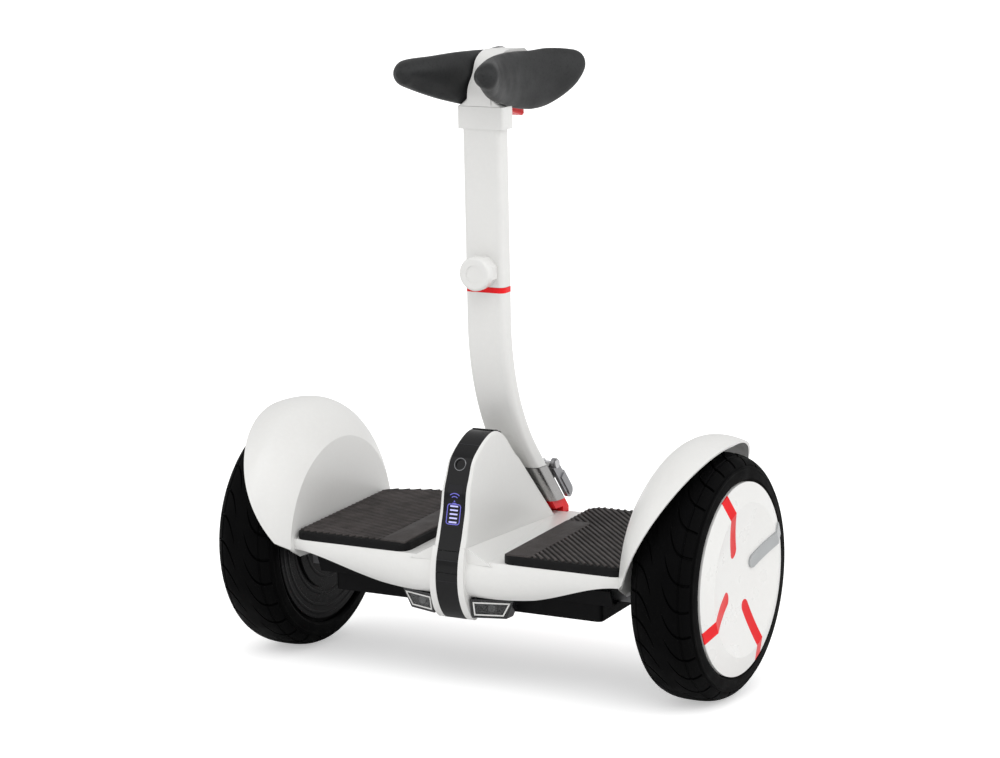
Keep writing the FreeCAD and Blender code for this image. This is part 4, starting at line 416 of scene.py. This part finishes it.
# How a finish is made
class Finish:
    """One procedural material, built step by step."""

    def __init__(self, name, surface, colour, rough, values, inputs):
        self.mat = bpy.data.materials.new(name)
        self.mat.use_nodes = True
        self.nodes = self.mat.node_tree.nodes
        self.links = self.mat.node_tree.links
        self.bsdf = self.nodes["Principled BSDF"]
        self.colour = colour
        self.rough = rough
        self.values = {**surface["values"], **values}
        self.where = self.nodes.new("ShaderNodeTexCoord").outputs["Object"]
        self.height = None
        self.put("Base Color", (*colour, 1))
        self.put("Roughness", rough)
        for socket, value in {**surface["inputs"], **inputs}.items():
            self.put(socket, value)
        for what, source, *step_values in surface["steps"]:
            finish_steps[what](self, self.pattern(*source), *step_values)

    def put(self, socket, value):
        self.bsdf.inputs[socket].default_value = value

    def placed(self, texture, scale, stretch):
        """Give a texture its scale and the stretched place on the piece."""
        mapping = self.nodes.new("ShaderNodeMapping")
        mapping.inputs["Scale"].default_value = stretch
        texture.inputs["Scale"].default_value = scale
        self.links.new(self.where, mapping.inputs["Vector"])
        self.links.new(mapping.outputs["Vector"], texture.inputs["Vector"])

    def pattern(self, kind, scale=None, detail=None):
        """Output of a noise, a brushed noise, a cell grain or the piece's own convex edges."""
        if kind == "edges":
            return self.nodes.new("ShaderNodeNewGeometry").outputs["Pointiness"]
        if kind == "cells":
            texture = self.nodes.new("ShaderNodeTexVoronoi")
            self.placed(texture, self.values["grain"], even_stretch)
            return texture.outputs["Distance"]
        texture = self.nodes.new("ShaderNodeTexNoise")
        texture.inputs["Detail"].default_value = detail
        self.placed(texture, scale, self.values["brush"] if kind == "brush" else even_stretch)
        return texture.outputs["Fac"]

    def spread(self, factor, low, high, span=usual_span):
        """Spread the span of a pattern between two values."""
        node = self.nodes.new("ShaderNodeMapRange")
        node.inputs["From Min"].default_value, node.inputs["From Max"].default_value = span
        node.inputs["To Min"].default_value = low
        node.inputs["To Max"].default_value = high
        self.links.new(factor, node.inputs["Value"])
        return node.outputs["Result"]

    def blend_colour(self, amount, other):
        """Mix the colour so far with another one by an amount."""
        mix = self.nodes.new("ShaderNodeMix")
        mix.data_type = "RGBA"
        self.links.new(amount, mix.inputs["Factor"])
        socket = self.bsdf.inputs["Base Color"]
        if socket.is_linked:
            self.links.new(socket.links[0].from_socket, mix.inputs["A"])
        else:
            mix.inputs["A"].default_value = socket.default_value
        mix.inputs["B"].default_value = (*other, 1)
        self.links.new(mix.outputs["Result"], socket)

    def tint(self, factor, share, span=usual_span):
        """Move the colour towards a share of the finish's own one where the pattern is high."""
        self.blend_colour(self.spread(factor, *whole_span, span), scaled(self.colour, share))

    def shift(self, factor):
        """Tint by the share that the finish names."""
        self.tint(factor, self.values["shift"])

    def roughen(self, factor, at_low, at_high):
        rough = self.spread(factor, self.rough + at_low, self.rough + at_high)
        self.links.new(rough, self.bsdf.inputs["Roughness"])

    def bump(self, factor, distance, strength):
        node = self.nodes.new("ShaderNodeBump")
        node.inputs["Distance"].default_value = distance
        node.inputs["Strength"].default_value = strength
        self.links.new(factor, node.inputs["Height"])
        if self.height is not None:
            self.links.new(self.height, node.inputs["Normal"])
        self.height = node.outputs["Normal"]
        self.links.new(self.height, self.bsdf.inputs["Normal"])

    def relief(self, factor, strength):
        """Bump of the depth that the finish names."""
        self.bump(factor, self.values["depth"], strength)

    def wear(self, edges, share, amount):
        """Rub the convex edges lighter or darker, broken up by a noise."""
        edge = self.spread(edges, *whole_span, edge_span)
        grain = self.spread(self.pattern(*edge_noise), *whole_span, edge_noise_span)
        both = self.nodes.new("ShaderNodeMath")
        both.operation = "MULTIPLY"
        self.links.new(edge, both.inputs[0])
        self.links.new(grain, both.inputs[1])
        worn = self.spread(both.outputs["Value"], 0.0, amount, whole_span)
        self.blend_colour(worn, scaled(self.colour, share))


def scaled(colour, share):
    return tuple(min(1.0, channel * share) for channel in colour)


finish_steps = {"tint": Finish.tint, "shift": Finish.shift, "roughen": Finish.roughen, "bump": Finish.bump,
                "relief": Finish.relief, "wear": Finish.wear}
materials = {key: Finish(*row).mat for key, row in finishes.items()}


def finish_name(node):
    best = max((key for key in finish_of if node.startswith(key)), key=len)
    return finish_of[best]


for name, obj in nodes.items():
    obj.data.materials.clear()
    obj.data.materials.append(materials[finish_name(name)])


# Mesh helpers
def piece(name, verts, faces, finish, body, sharp=usual_sharp, stands_for=()):
    """A closed mesh from points in metres that rides on a body."""
    mesh = bpy.data.meshes.new(name)
    mesh.from_pydata([tuple(v) for v in verts], [], faces)
    bm = bmesh.new()
    bm.from_mesh(mesh)
    bmesh.ops.recalc_face_normals(bm, faces=bm.faces)
    bm.to_mesh(mesh)
    bm.free()
    mesh.shade_smooth()
    mesh.set_sharp_from_angle(angle=math.radians(sharp))
    obj = bpy.data.objects.new(name, mesh)
    bpy.context.collection.objects.link(obj)
    obj.data.materials.append(materials[finish])
    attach(obj, body)
    if stands_for:
        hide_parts(*stands_for)
    return obj


def grid_faces(rows, columns, wrap_rows=False):
    """Quads of a grid whose points run row by row, each row closed on itself."""
    faces = []
    for i in range(rows if wrap_rows else rows - 1):
        for j in range(columns):
            a = i * columns + j
            b = i * columns + (j + 1) % columns
            c = (i + 1) % rows * columns + (j + 1) % columns
            d = (i + 1) % rows * columns + j
            faces.append((a, b, c, d))
    return faces


def capped_faces(rows, columns):
    """Faces of a tube of rings whose first and last ring are closed."""
    first = tuple(range(columns))
    last = tuple((rows - 1) * columns + k for k in range(columns))
    return grid_faces(rows, columns) + [first, last]


def turn_x(degrees):
    """Rotation about the x axis."""
    return Matrix.Rotation(math.radians(degrees), space_axes, "X")


def smooth(t):
    """Curve from 0 to 1 that starts and ends level."""
    return t * t * (3 - 2 * t)


def step_share(value, low, high):
    """0 below low, 1 above high and smooth between them."""
    return smooth(min(1.0, max(0.0, (value - low) / (high - low))))


def blend_between(stations, values, place):
    """Value at a place along stations, on a smooth curve through the values."""
    last = len(stations) - 1
    i = max(k for k in range(last) if stations[k] <= place or k == 0)

    def slope(k):
        low, high = max(k - 1, 0), min(k + 1, last)
        return (values[high] - values[low]) / (stations[high] - stations[low])

    gap = stations[i + 1] - stations[i]
    t = (place - stations[i]) / gap
    level = values[i] + (values[i + 1] - values[i]) * smooth(t)
    return level + gap * t * (1 - t) * (slope(i) * (1 - t) - slope(i + 1) * t)


def rounded(corners, radius):
    """Outline with its corners rounded."""
    points = []
    count = len(corners)
    for i, corner in enumerate(corners):
        corner = Vector(corner)
        before = (Vector(corners[i - 1]) - corner).normalized()
        after = (Vector(corners[(i + 1) % count]) - corner).normalized()
        half = before.angle(after) / 2
        reach = radius / math.tan(half)
        centre = corner + (before + after).normalized() * (radius / math.sin(half))
        start = corner + before * reach - centre
        end = corner + after * reach - centre
        for k in range(corner_steps + 1):
            turn = start.lerp(end, k / corner_steps).normalized() * radius
            points.append(centre + turn)
    return points


def inset(points, distance):
    """Outline moved inwards, for an outline that runs anticlockwise."""
    moved = []
    count = len(points)
    for i, point in enumerate(points):
        along = (points[(i + 1) % count] - points[i - 1]).normalized()
        moved.append(point + Vector((-along.y, along.x)) * distance)
    return moved


def slab(outline, low, high, edge, steps):
    """Points and faces of a slab whose upper edge is rounded."""
    rings = [(0.0, low), (0.0, high - edge)]
    for k in range(1, steps + 1):
        turn = math.pi / 2 * k / steps
        rings.append((edge * (1 - math.cos(turn)), high - edge + edge * math.sin(turn)))
    verts = []
    for distance, z in rings:
        verts += [(p.x, p.y, z) for p in inset(outline, distance)]
    return verts, capped_faces(len(rings), len(outline))


def ring_points(centre, facing, across, radius, section, columns, points):
    """Points of a ring about facing, whose section has half sizes across and along facing."""
    up = facing.cross(across)
    half_across, half_along = section
    verts = []
    for column in range(columns):
        turn = 2 * math.pi * column / columns
        out = across * math.cos(turn) + up * math.sin(turn)
        for point in range(points):
            bend = 2 * math.pi * point / points
            verts.append(centre + out * (radius + half_across * math.cos(bend))
                         + facing * half_along * math.sin(bend))
    return verts


def on_front(names, x, z, proud):
    """Point on the foremost of some nodes at x and z, seen from the front, moved out by proud."""
    # A cast holds whether it hit, the place, the normal and the face
    casts = [nodes[name].ray_cast(Vector((x, ray_start, z)), Vector((0, 1, 0))) for name in names]
    foremost = min((cast for cast in casts if cast[0]), key=lambda cast: cast[1].y)
    return foremost[1] + foremost[2] * proud


# Tyres
def tread_rows():
    """Section rows from the foot at high x over the crown: x share, radius, shares of both grooves, lift."""
    rows = []
    angles = [tyre_row_step * k for k in range(1, int(half_turn / tyre_row_step))]
    for degrees in angles:
        angle = math.radians(degrees)
        x = math.copysign(abs(math.cos(angle)) ** (2 / tyre_power), math.cos(angle))
        r = tyre_base + math.sin(angle) ** (2 / tyre_power) * (tyre_radius - tyre_base)
        from_side = min(degrees, half_turn - degrees)
        groove = step_share(from_side, *groove_out) * (1 - step_share(from_side, *groove_in))
        fine = 1 - step_share(abs(from_side - fine_groove_angle), fine_groove_half / 2, fine_groove_half)
        ring = 1 - step_share(abs(from_side - side_ring_angle), side_ring_half / 2, side_ring_half)
        ditch = 1 - step_share(abs(from_side - side_ditch_angle), side_ring_half / 2, side_ring_half)
        rows.append((x, r, groove, fine, ring * side_ring_height - ditch * side_ditch_depth))
    return rows


def tyre_piece(side, name):
    middle = Vector((side * wheel_x, 0, tyre_radius))
    rows = tread_rows()
    flat = [Vector((row[0] * tyre_half, row[1])) for row in rows]
    columns = []
    for groove_number in range(groove_count):
        for share, depth in groove_columns:
            columns.append(((groove_number + share) * 2 * math.pi / groove_count, depth))
    verts = []
    for i, (x, r, groove, fine, lift) in enumerate(rows):
        along = flat[min(i + 1, len(rows) - 1)] - flat[max(i - 1, 0)]
        out = Vector((-along.y, along.x)).normalized()
        out = out if out.dot(flat[i] - Vector((0, tyre_base))) > 0 else -out
        run = (abs(x) - groove_centre_share) / (groove_edge_share - groove_centre_share)
        run = min(1.0, max(0.0, run))
        turn = math.copysign(groove_length * (1 - (1 - run) ** groove_bend_power), x) / tyre_radius
        for angle, depth in columns:
            push = lift - groove_depth * depth * groove - fine_groove_depth * fine
            point = flat[i] + out * push
            theta = angle + turn
            verts.append(middle + Vector((point.x, point.y * math.cos(theta), point.y * math.sin(theta))))
    outer_bead, inner_bead = (bead_outer, bead_inner) if side > 0 else (bead_inner, bead_outer)
    foot = tyre_half - foot_inset
    closing = [(-foot, tyre_base), (-inner_bead, tyre_base), (-inner_bead, bead_radius),
               (outer_bead, bead_radius), (outer_bead, tyre_base), (foot, tyre_base)]
    for x, r in closing:
        for angle, depth in columns:
            verts.append(middle + Vector((x, r * math.cos(angle), r * math.sin(angle))))
    faces = grid_faces(len(rows) + len(closing), len(columns), wrap_rows=True)
    piece("tread_" + name, verts, faces, "tyre", "wheel_" + name, tread_sharp, ["tyre_" + name])


for side, name in sides:
    tyre_piece(side, name)


# Knee pads
def clear_of_neck(point):
    """Move a point out of the collar and the neck above it."""
    lean = turn_x(bar_lean)
    local = lean.transposed() @ (point - bar_top)
    if abs(local.y) > collar_depth / 2 + pad_gap:
        return point
    neck_rise = min(max(local.z, 0.0), neck_rises[-1])
    neck_half = collar_width / 2 * blend_between(neck_rises, neck_shares, neck_rise)
    reach = abs(local.x)
    if local.z < pad_gap and reach < collar_width / 2 + pad_gap:
        local.z = pad_gap * 2
    elif pad_gap <= local.z < neck_rises[-1] and reach < neck_half + pad_gap:
        local.x = math.copysign(neck_half + pad_gap * 2, local.x)
    return bar_top + lean @ local


def knee_pad(side, name):
    """Padded cushion, a ring of points for each place from its front to its rear."""
    verts = []
    tables = (pad_height_shares, pad_centre_shares, pad_thickness_shares, pad_lift_shares)
    for ring in range(pad_rings + 1):
        share = (1 - math.cos(math.pi * ring / pad_rings)) / 2
        place = pad_stations[0] + (pad_stations[-1] - pad_stations[0]) * share
        height, centre, thickness, lift = (blend_between(pad_stations, table, place) for table in tables)
        middle = Vector((side * pad_spread * centre, bar_top.y - pad_front + (pad_front + pad_rear) * place,
                         bar_top.z + pad_rise + pad_half_height * lift))
        for k in range(pad_points):
            angle = 2 * math.pi * k / pad_points
            seam = 1 - pad_seam_depth * (1 - step_share(abs(math.cos(angle)), 0.0, pad_seam_share))
            out = side * pad_spread * thickness * math.cos(angle)
            up = pad_half_height * height * math.sin(angle) * seam
            verts.append(clear_of_neck(middle + Vector((out, 0, up))))
    faces = capped_faces(pad_rings + 1, pad_points)
    obj = piece("pad_" + name, verts, faces, "pad", "head", pad_sharp, ["knee_pad_" + name])


for side, name in sides:
    knee_pad(side, name)


# Fenders
def fender_skin(name):
    """Fender with its crease drawn in and its front tip trimmed."""
    bm = bmesh.new()
    bm.from_mesh(nodes["fender_" + name].data)
    bm.transform(nodes["fender_" + name].matrix_world)
    for vert in bm.verts:
        flat = Vector((vert.co.y, vert.co.z - tyre_radius))
        out = (abs(vert.co.x) - fender_disc_x) / (fender_crown_x - fender_disc_x)
        share = max(0.0, 1 - out) ** fender_draw_power
        if flat.length < fender_crease_radius:
            share *= (flat.length / fender_crease_radius) ** fender_disc_power
        flat *= 1 - fender_draw_in * share / max(flat.length, fender_draw_in)
        vert.co.y, vert.co.z = flat.x, flat.y + tyre_radius
    turn = math.radians(tip_cut_angle)
    away = Vector((0, -math.sin(turn), -math.cos(turn)))
    cut = bmesh.ops.bisect_plane(bm, geom=bm.verts[:] + bm.edges[:] + bm.faces[:],
                                 plane_co=Vector((0, *tip_cut_place)), plane_no=away, clear_outer=True)
    rim = [item for item in cut["geom_cut"] if isinstance(item, bmesh.types.BMEdge)]
    bmesh.ops.holes_fill(bm, edges=rim)
    bmesh.ops.triangulate(bm, faces=[face for face in bm.faces if len(face.verts) > quad_corners])
    verts = [vert.co.copy() for vert in bm.verts]
    faces = [tuple(vert.index for vert in face.verts) for face in bm.faces]
    bm.free()
    piece("fender_skin_" + name, verts, faces, "white", "chassis", fender_sharp, ["fender_" + name])


for side, name in sides:
    fender_skin(name)


# Display icons
def ribbon(name, path, width, finish, closed=False, under=("display_window",)):
    """Thin raised line along a path of x and z places on the front of the nodes under it."""
    count = len(path)
    verts = []
    for i, (x, z) in enumerate(path):
        before = path[i - 1] if i or closed else path[i]
        after = path[(i + 1) % count] if i < count - 1 or closed else path[i]
        along = Vector((after[0] - before[0], after[1] - before[1])).normalized()
        across = Vector((-along.y, along.x)) * width / 2
        section = ((across, 0.0), (across, icon_proud), (-across, icon_proud), (-across, 0.0))
        verts += [on_front(under, x + shift.x, z + shift.y, proud) for shift, proud in section]
    columns = len(section)
    faces = grid_faces(count, columns, wrap_rows=True) if closed else capped_faces(count, columns)
    piece(name, verts, faces, finish, "chassis")


def arc_path(x, z, radius, first, last, steps):
    path = []
    for k in range(steps + 1):
        turn = math.radians(first + (last - first) * k / steps)
        path.append((x + radius * math.cos(turn), z + radius * math.sin(turn)))
    return path


def signal_icon():
    """Two arcs over a dot."""
    for number, radius in enumerate(signal_radii):
        path = arc_path(0, signal_z, radius, *signal_angles, arc_steps)
        ribbon("signal_arc_%d" % number, path, icon_line, "icon_line")
    path = arc_path(0, signal_z, icon_line * dot_radius_share, 0, dot_turn, dot_steps)
    ribbon("signal_dot", path, icon_line * dot_line_share, "icon_line", closed=True)


def battery_icon():
    """Outline with rounded corners, a terminal above it and level bars inside."""
    x = battery_half - battery_corner
    low = battery_low + battery_corner
    high = battery_high - battery_corner
    outline = []
    for number, centre in enumerate(((x, high), (-x, high), (-x, low), (x, low))):
        first = number * quarter_turn
        outline += arc_path(*centre, battery_corner, first, first + quarter_turn, corner_steps)
    ribbon("battery_outline", outline, icon_line, "icon_line", closed=True)
    z = battery_high + icon_line * terminal_rise_share
    ribbon("battery_terminal", [(-terminal_half, z), (terminal_half, z)], icon_line, "icon_line")
    for number in range(bar_count):
        z = battery_low + (battery_high - battery_low) * (number + 1 / 2) / bar_count
        ribbon("battery_bar_%d" % number, [(-bar_half, z), (0, z), (bar_half, z)], icon_bar, "icon")


signal_icon()
battery_icon()


# Foot mats
def on_deck(x, y, z):
    """Place a point of the level chassis on the deck, which is tilted about the axle."""
    axle = Vector((0, 0, tyre_radius))
    return axle + turn_x(deck_tilt) @ (Vector((x, y, z)) - axle)


def span_in(corners, start, along):
    """Stretch of a line inside a convex anticlockwise outline."""
    low, high = -line_reach, line_reach
    for i, corner in enumerate(corners):
        edge = Vector(corners[(i + 1) % len(corners)]) - Vector(corner)
        inward = Vector((-edge.y, edge.x)).normalized()
        speed = along.dot(inward)
        gap = (start - Vector(corner)).dot(inward)
        if abs(speed) < parallel_limit:
            if gap < 0:
                return None
        elif speed > 0:
            low = max(low, -gap / speed)
        else:
            high = min(high, -gap / speed)
    return (low, high) if high > low else None


def mat_corners(margin):
    """Corners of the mat, moved in by a margin."""
    x0, x1 = mat_x[0] + margin, mat_x[1] - margin
    y0, y1 = mat_y[0] + margin, mat_y[1] - margin
    return [(x0, y0), (x1, y0), (x1, y1 - mat_rear_cut[1]), (x1 - mat_rear_cut[0], y1),
            (x0 + mat_inner_cut, y1), (x0, y1 - mat_inner_cut)]


def band_corners(margin):
    """Corners of the smooth band along the mat's inner edge, kept off the mat's own edges by a margin."""
    x0, x1 = mat_x[0] + margin, mat_x[0] + band_width
    y0 = mat_y[0] + margin
    return [(x0, y0), (x1, y0), (x1, band_rear), (x0, band_rear)]


def rib_spans(start, along):
    """Stretches of a rib's line on the mat and outside the smooth band."""
    whole = span_in(mat_corners(rib_margin), start, along)
    if whole is None:
        return []
    band = span_in(band_corners(0.0), start, along)
    if band is None:
        return [whole]
    return [(whole[0], min(whole[1], band[0])), (max(whole[0], band[1]), whole[1])]


def foot_mat(side, name):
    """Mat with a plain edge, a smooth band and slanting ribs."""
    floor = mat_base + mat_height - mat_floor_drop
    top = mat_base + mat_height
    verts, faces = slab(rounded(mat_corners(0.0), mat_corner), mat_base, floor, mat_round, edge_steps)
    edge_faces = len(faces)

    def add(more_verts, more_faces):
        shift = len(verts)
        verts.extend(more_verts)
        faces.extend(tuple(shift + k for k in face) for face in more_faces)

    band = rounded(band_corners(mat_round), rib_half)
    add(*slab(band, floor - rib_slope, top, band_round, edge_steps))
    turn = math.radians(rib_angle)
    along = Vector((math.cos(turn), -math.sin(turn)))
    across = Vector((math.sin(turn), math.cos(turn)))
    middle = Vector((sum(mat_x) / 2, sum(mat_y) / 2))
    reach = int((mat_y[1] - mat_y[0]) / rib_pitch)
    for number in range(-reach, reach + 1):
        start = middle + across * number * rib_pitch
        for low, high in rib_spans(start, along):
            if high - low < rib_pitch:
                continue
            first, last = start + along * low, start + along * high
            half = across * rib_half
            corners = [first - half, last - half, last + half, first + half]
            add(*slab(corners, floor - rib_slope, top, rib_slope * 2, rib_edge_steps))
    placed = [on_deck(side * x, y, z) for x, y, z in verts]
    obj = piece("mat_" + name, placed, faces, "mat", "chassis", mat_sharp, ["foot_mat_" + name])
    # The edge faces take the black edge finish; the band and ribs keep the grey mat finish, a painted sheen
    # for the ribs' grazing reflections
    obj.data.materials.append(materials["mat_edge"])
    for polygon in obj.data.polygons[:edge_faces]:
        polygon.material_index = 1


for side, name in sides:
    foot_mat(side, name)


# Release trigger
def trigger_blade():
    """Curved blade with rounded sides, and the short stem behind it."""
    lean = turn_x(bar_lean)
    side_view = [Vector(place) for place in trigger_side]
    flat_half = trigger_half - trigger_round
    rows = ((-trigger_half, trigger_round), (-flat_half, 0.0),
            (flat_half, 0.0), (trigger_half, trigger_round))
    verts = []
    for x, distance in rows:
        verts += [bar_top + lean @ Vector((x, p.x, p.y)) for p in inset(side_view, distance)]
    faces = capped_faces(len(rows), len(side_view))
    shift = len(verts)
    half, front, rear, low, high = trigger_stem
    corners = ((-half, front), (half, front), (half, rear), (-half, rear))
    for z in (low, high):
        verts += [bar_top + lean @ Vector((x, y, z)) for x, y in corners]
    faces += [tuple(shift + k for k in face) for face in capped_faces(2, len(corners))]
    piece("trigger_blade", verts, faces, "red", "trigger", trigger_sharp, ["release_trigger"])


trigger_blade()


# Seams across the strip
def strip_seam(number, z):
    path = [(seam_half * (1 - 2 * k / seam_steps), z) for k in range(seam_steps + 1)]
    ribbon("strip_seam_%d" % number, path, seam_line, "seam", under=("strip_lower", "strip_top"))


for number, height in enumerate(seam_heights):
    strip_seam(number, height)


# Lamp rims
def lamp_rim(side, name):
    """Thin white edge round a lamp window, on the face of its lens."""
    path = []
    for i, corner in enumerate(lamp_corners):
        corner = Vector(corner)
        step = (Vector(lamp_corners[(i + 1) % len(lamp_corners)]) - corner) / lamp_rim_steps
        path += [corner + step * k for k in range(lamp_rim_steps)]
    verts = []
    for place, inner in zip(path, inset(path, lamp_rim_line)):
        section = ((place, 0.0), (place, lamp_rim_proud), (inner, lamp_rim_proud), (inner, 0.0))
        verts += [on_front(("headlamp_lenses",), side * point.x, point.y, proud) for point, proud in section]
    faces = grid_faces(len(path), len(section), wrap_rows=True)
    piece("lamp_rim_" + name, verts, faces, "lamp_rim", "chassis")


for side, name in sides:
    lamp_rim(side, name)


# Wheel steps
def wheel_steps(side, name):
    """Rounded steps round the inner side of a wheel, on its motor cover and rim."""
    axis = Vector((side, 0, 0))
    turn = math.radians(step_ray_angle)
    verts = []
    faces = []
    for radius in step_radii:
        start = Vector((0, radius * math.sin(turn), tyre_radius - radius * math.cos(turn)))
        casts = [nodes[node + name].ray_cast(start, axis) for node in ("motor_covers_", "rim_")]
        face_x = min(abs(cast[1].x) for cast in casts if cast[0]) + step_line * step_share_sunk
        centre = Vector((side * face_x, 0, tyre_radius))
        shift = len(verts)
        verts += ring_points(centre, axis, Vector((0, 1, 0)), radius, (2 * step_line, step_line),
                             step_columns, step_points)
        ring = grid_faces(step_columns, step_points, wrap_rows=True)
        faces += [tuple(shift + k for k in face) for face in ring]
    piece("wheel_steps_" + name, verts, faces, "rim", "wheel_" + name)


for side, name in sides:
    wheel_steps(side, name)


# Button ring
def button_ring():
    verts = ring_points(button_place, button_facing.normalized(), Vector((1, 0, 0)), button_ring_radius,
                        (button_ring_line, button_ring_line), button_ring_columns, button_ring_points)
    faces = grid_faces(button_ring_columns, button_ring_points, wrap_rows=True)
    piece("button_ring", verts, faces, "ring", "button")


button_ring()


# Camera
camera_data = bpy.data.cameras.new("camera")
camera = bpy.data.objects.new("camera", camera_data)
bpy.context.collection.objects.link(camera)
camera.location = camera_place
camera.rotation_euler = (camera_target - camera_place).to_track_quat("-Z", "Y").to_euler()
camera_data.lens = camera_lens
camera_data.sensor_width = camera_sensor
camera_data.sensor_fit = "HORIZONTAL"
bpy.context.scene.camera = camera


# Stage
def stage_mesh(name, verts, faces, mat):
    mesh = bpy.data.meshes.new(name)
    mesh.from_pydata(verts, [], faces)
    obj = bpy.data.objects.new(name, mesh)
    bpy.context.collection.objects.link(obj)
    obj.data.materials.append(mat)


def floor_material():
    """Pale matt floor that shows the camera a white ground with the object's shadow."""
    mat = bpy.data.materials.new("stage_floor")
    mat.use_nodes = True
    tree = mat.node_tree
    bsdf = tree.nodes["Principled BSDF"]
    bsdf.inputs["Base Color"].default_value = (floor_grey, floor_grey, floor_grey, 1)
    bsdf.inputs["Roughness"].default_value = floor_rough
    bsdf.inputs["Specular IOR Level"].default_value = 0.0
    rays = tree.nodes.new("ShaderNodeLightPath")
    level = tree.nodes.new("ShaderNodeMath")
    level.operation = "MULTIPLY"
    level.inputs[1].default_value = floor_lift
    tree.links.new(rays.outputs["Is Camera Ray"], level.inputs[0])
    bsdf.inputs["Emission Color"].default_value = (1, 1, 1, 1)
    tree.links.new(level.outputs["Value"], bsdf.inputs["Emission Strength"])
    return mat


floor_corners = [(x * floor_size, y * floor_size, 0) for x, y in ((-1, -1), (1, -1), (1, 1), (-1, 1))]
stage_mesh("floor", floor_corners, [tuple(range(len(floor_corners)))], floor_material())


# Light
def sun(name, place, strength, spread):
    """Broad soft lamp that shines from place towards the object at the same level everywhere."""
    data = bpy.data.lights.new(name, "SUN")
    data.energy = strength
    data.angle = math.radians(spread)
    obj = bpy.data.objects.new(name, data)
    bpy.context.collection.objects.link(obj)
    obj.location = place
    obj.rotation_euler = (-Vector(place)).to_track_quat("-Z", "Y").to_euler()


for name, values in suns.items():
    sun(name, **values)

world = bpy.data.worlds.new("studio")
bpy.context.scene.world = world
world.use_nodes = True
tree = world.node_tree
background = tree.nodes["Background"]
background.inputs["Color"].default_value = (1, 1, 1, 1)
rays = tree.nodes.new("ShaderNodeLightPath")
seen = tree.nodes.new("ShaderNodeMath")
seen.operation = "MAXIMUM"
tree.links.new(rays.outputs["Is Camera Ray"], seen.inputs[0])
tree.links.new(rays.outputs["Is Transmission Ray"], seen.inputs[1])
level = tree.nodes.new("ShaderNodeMapRange")
level.inputs["To Min"].default_value = world_strength
level.inputs["To Max"].default_value = 1.0
tree.links.new(seen.outputs["Value"], level.inputs["Value"])
tree.links.new(level.outputs["Result"], background.inputs["Strength"])

bpy.context.scene.view_settings.view_transform = "Standard"
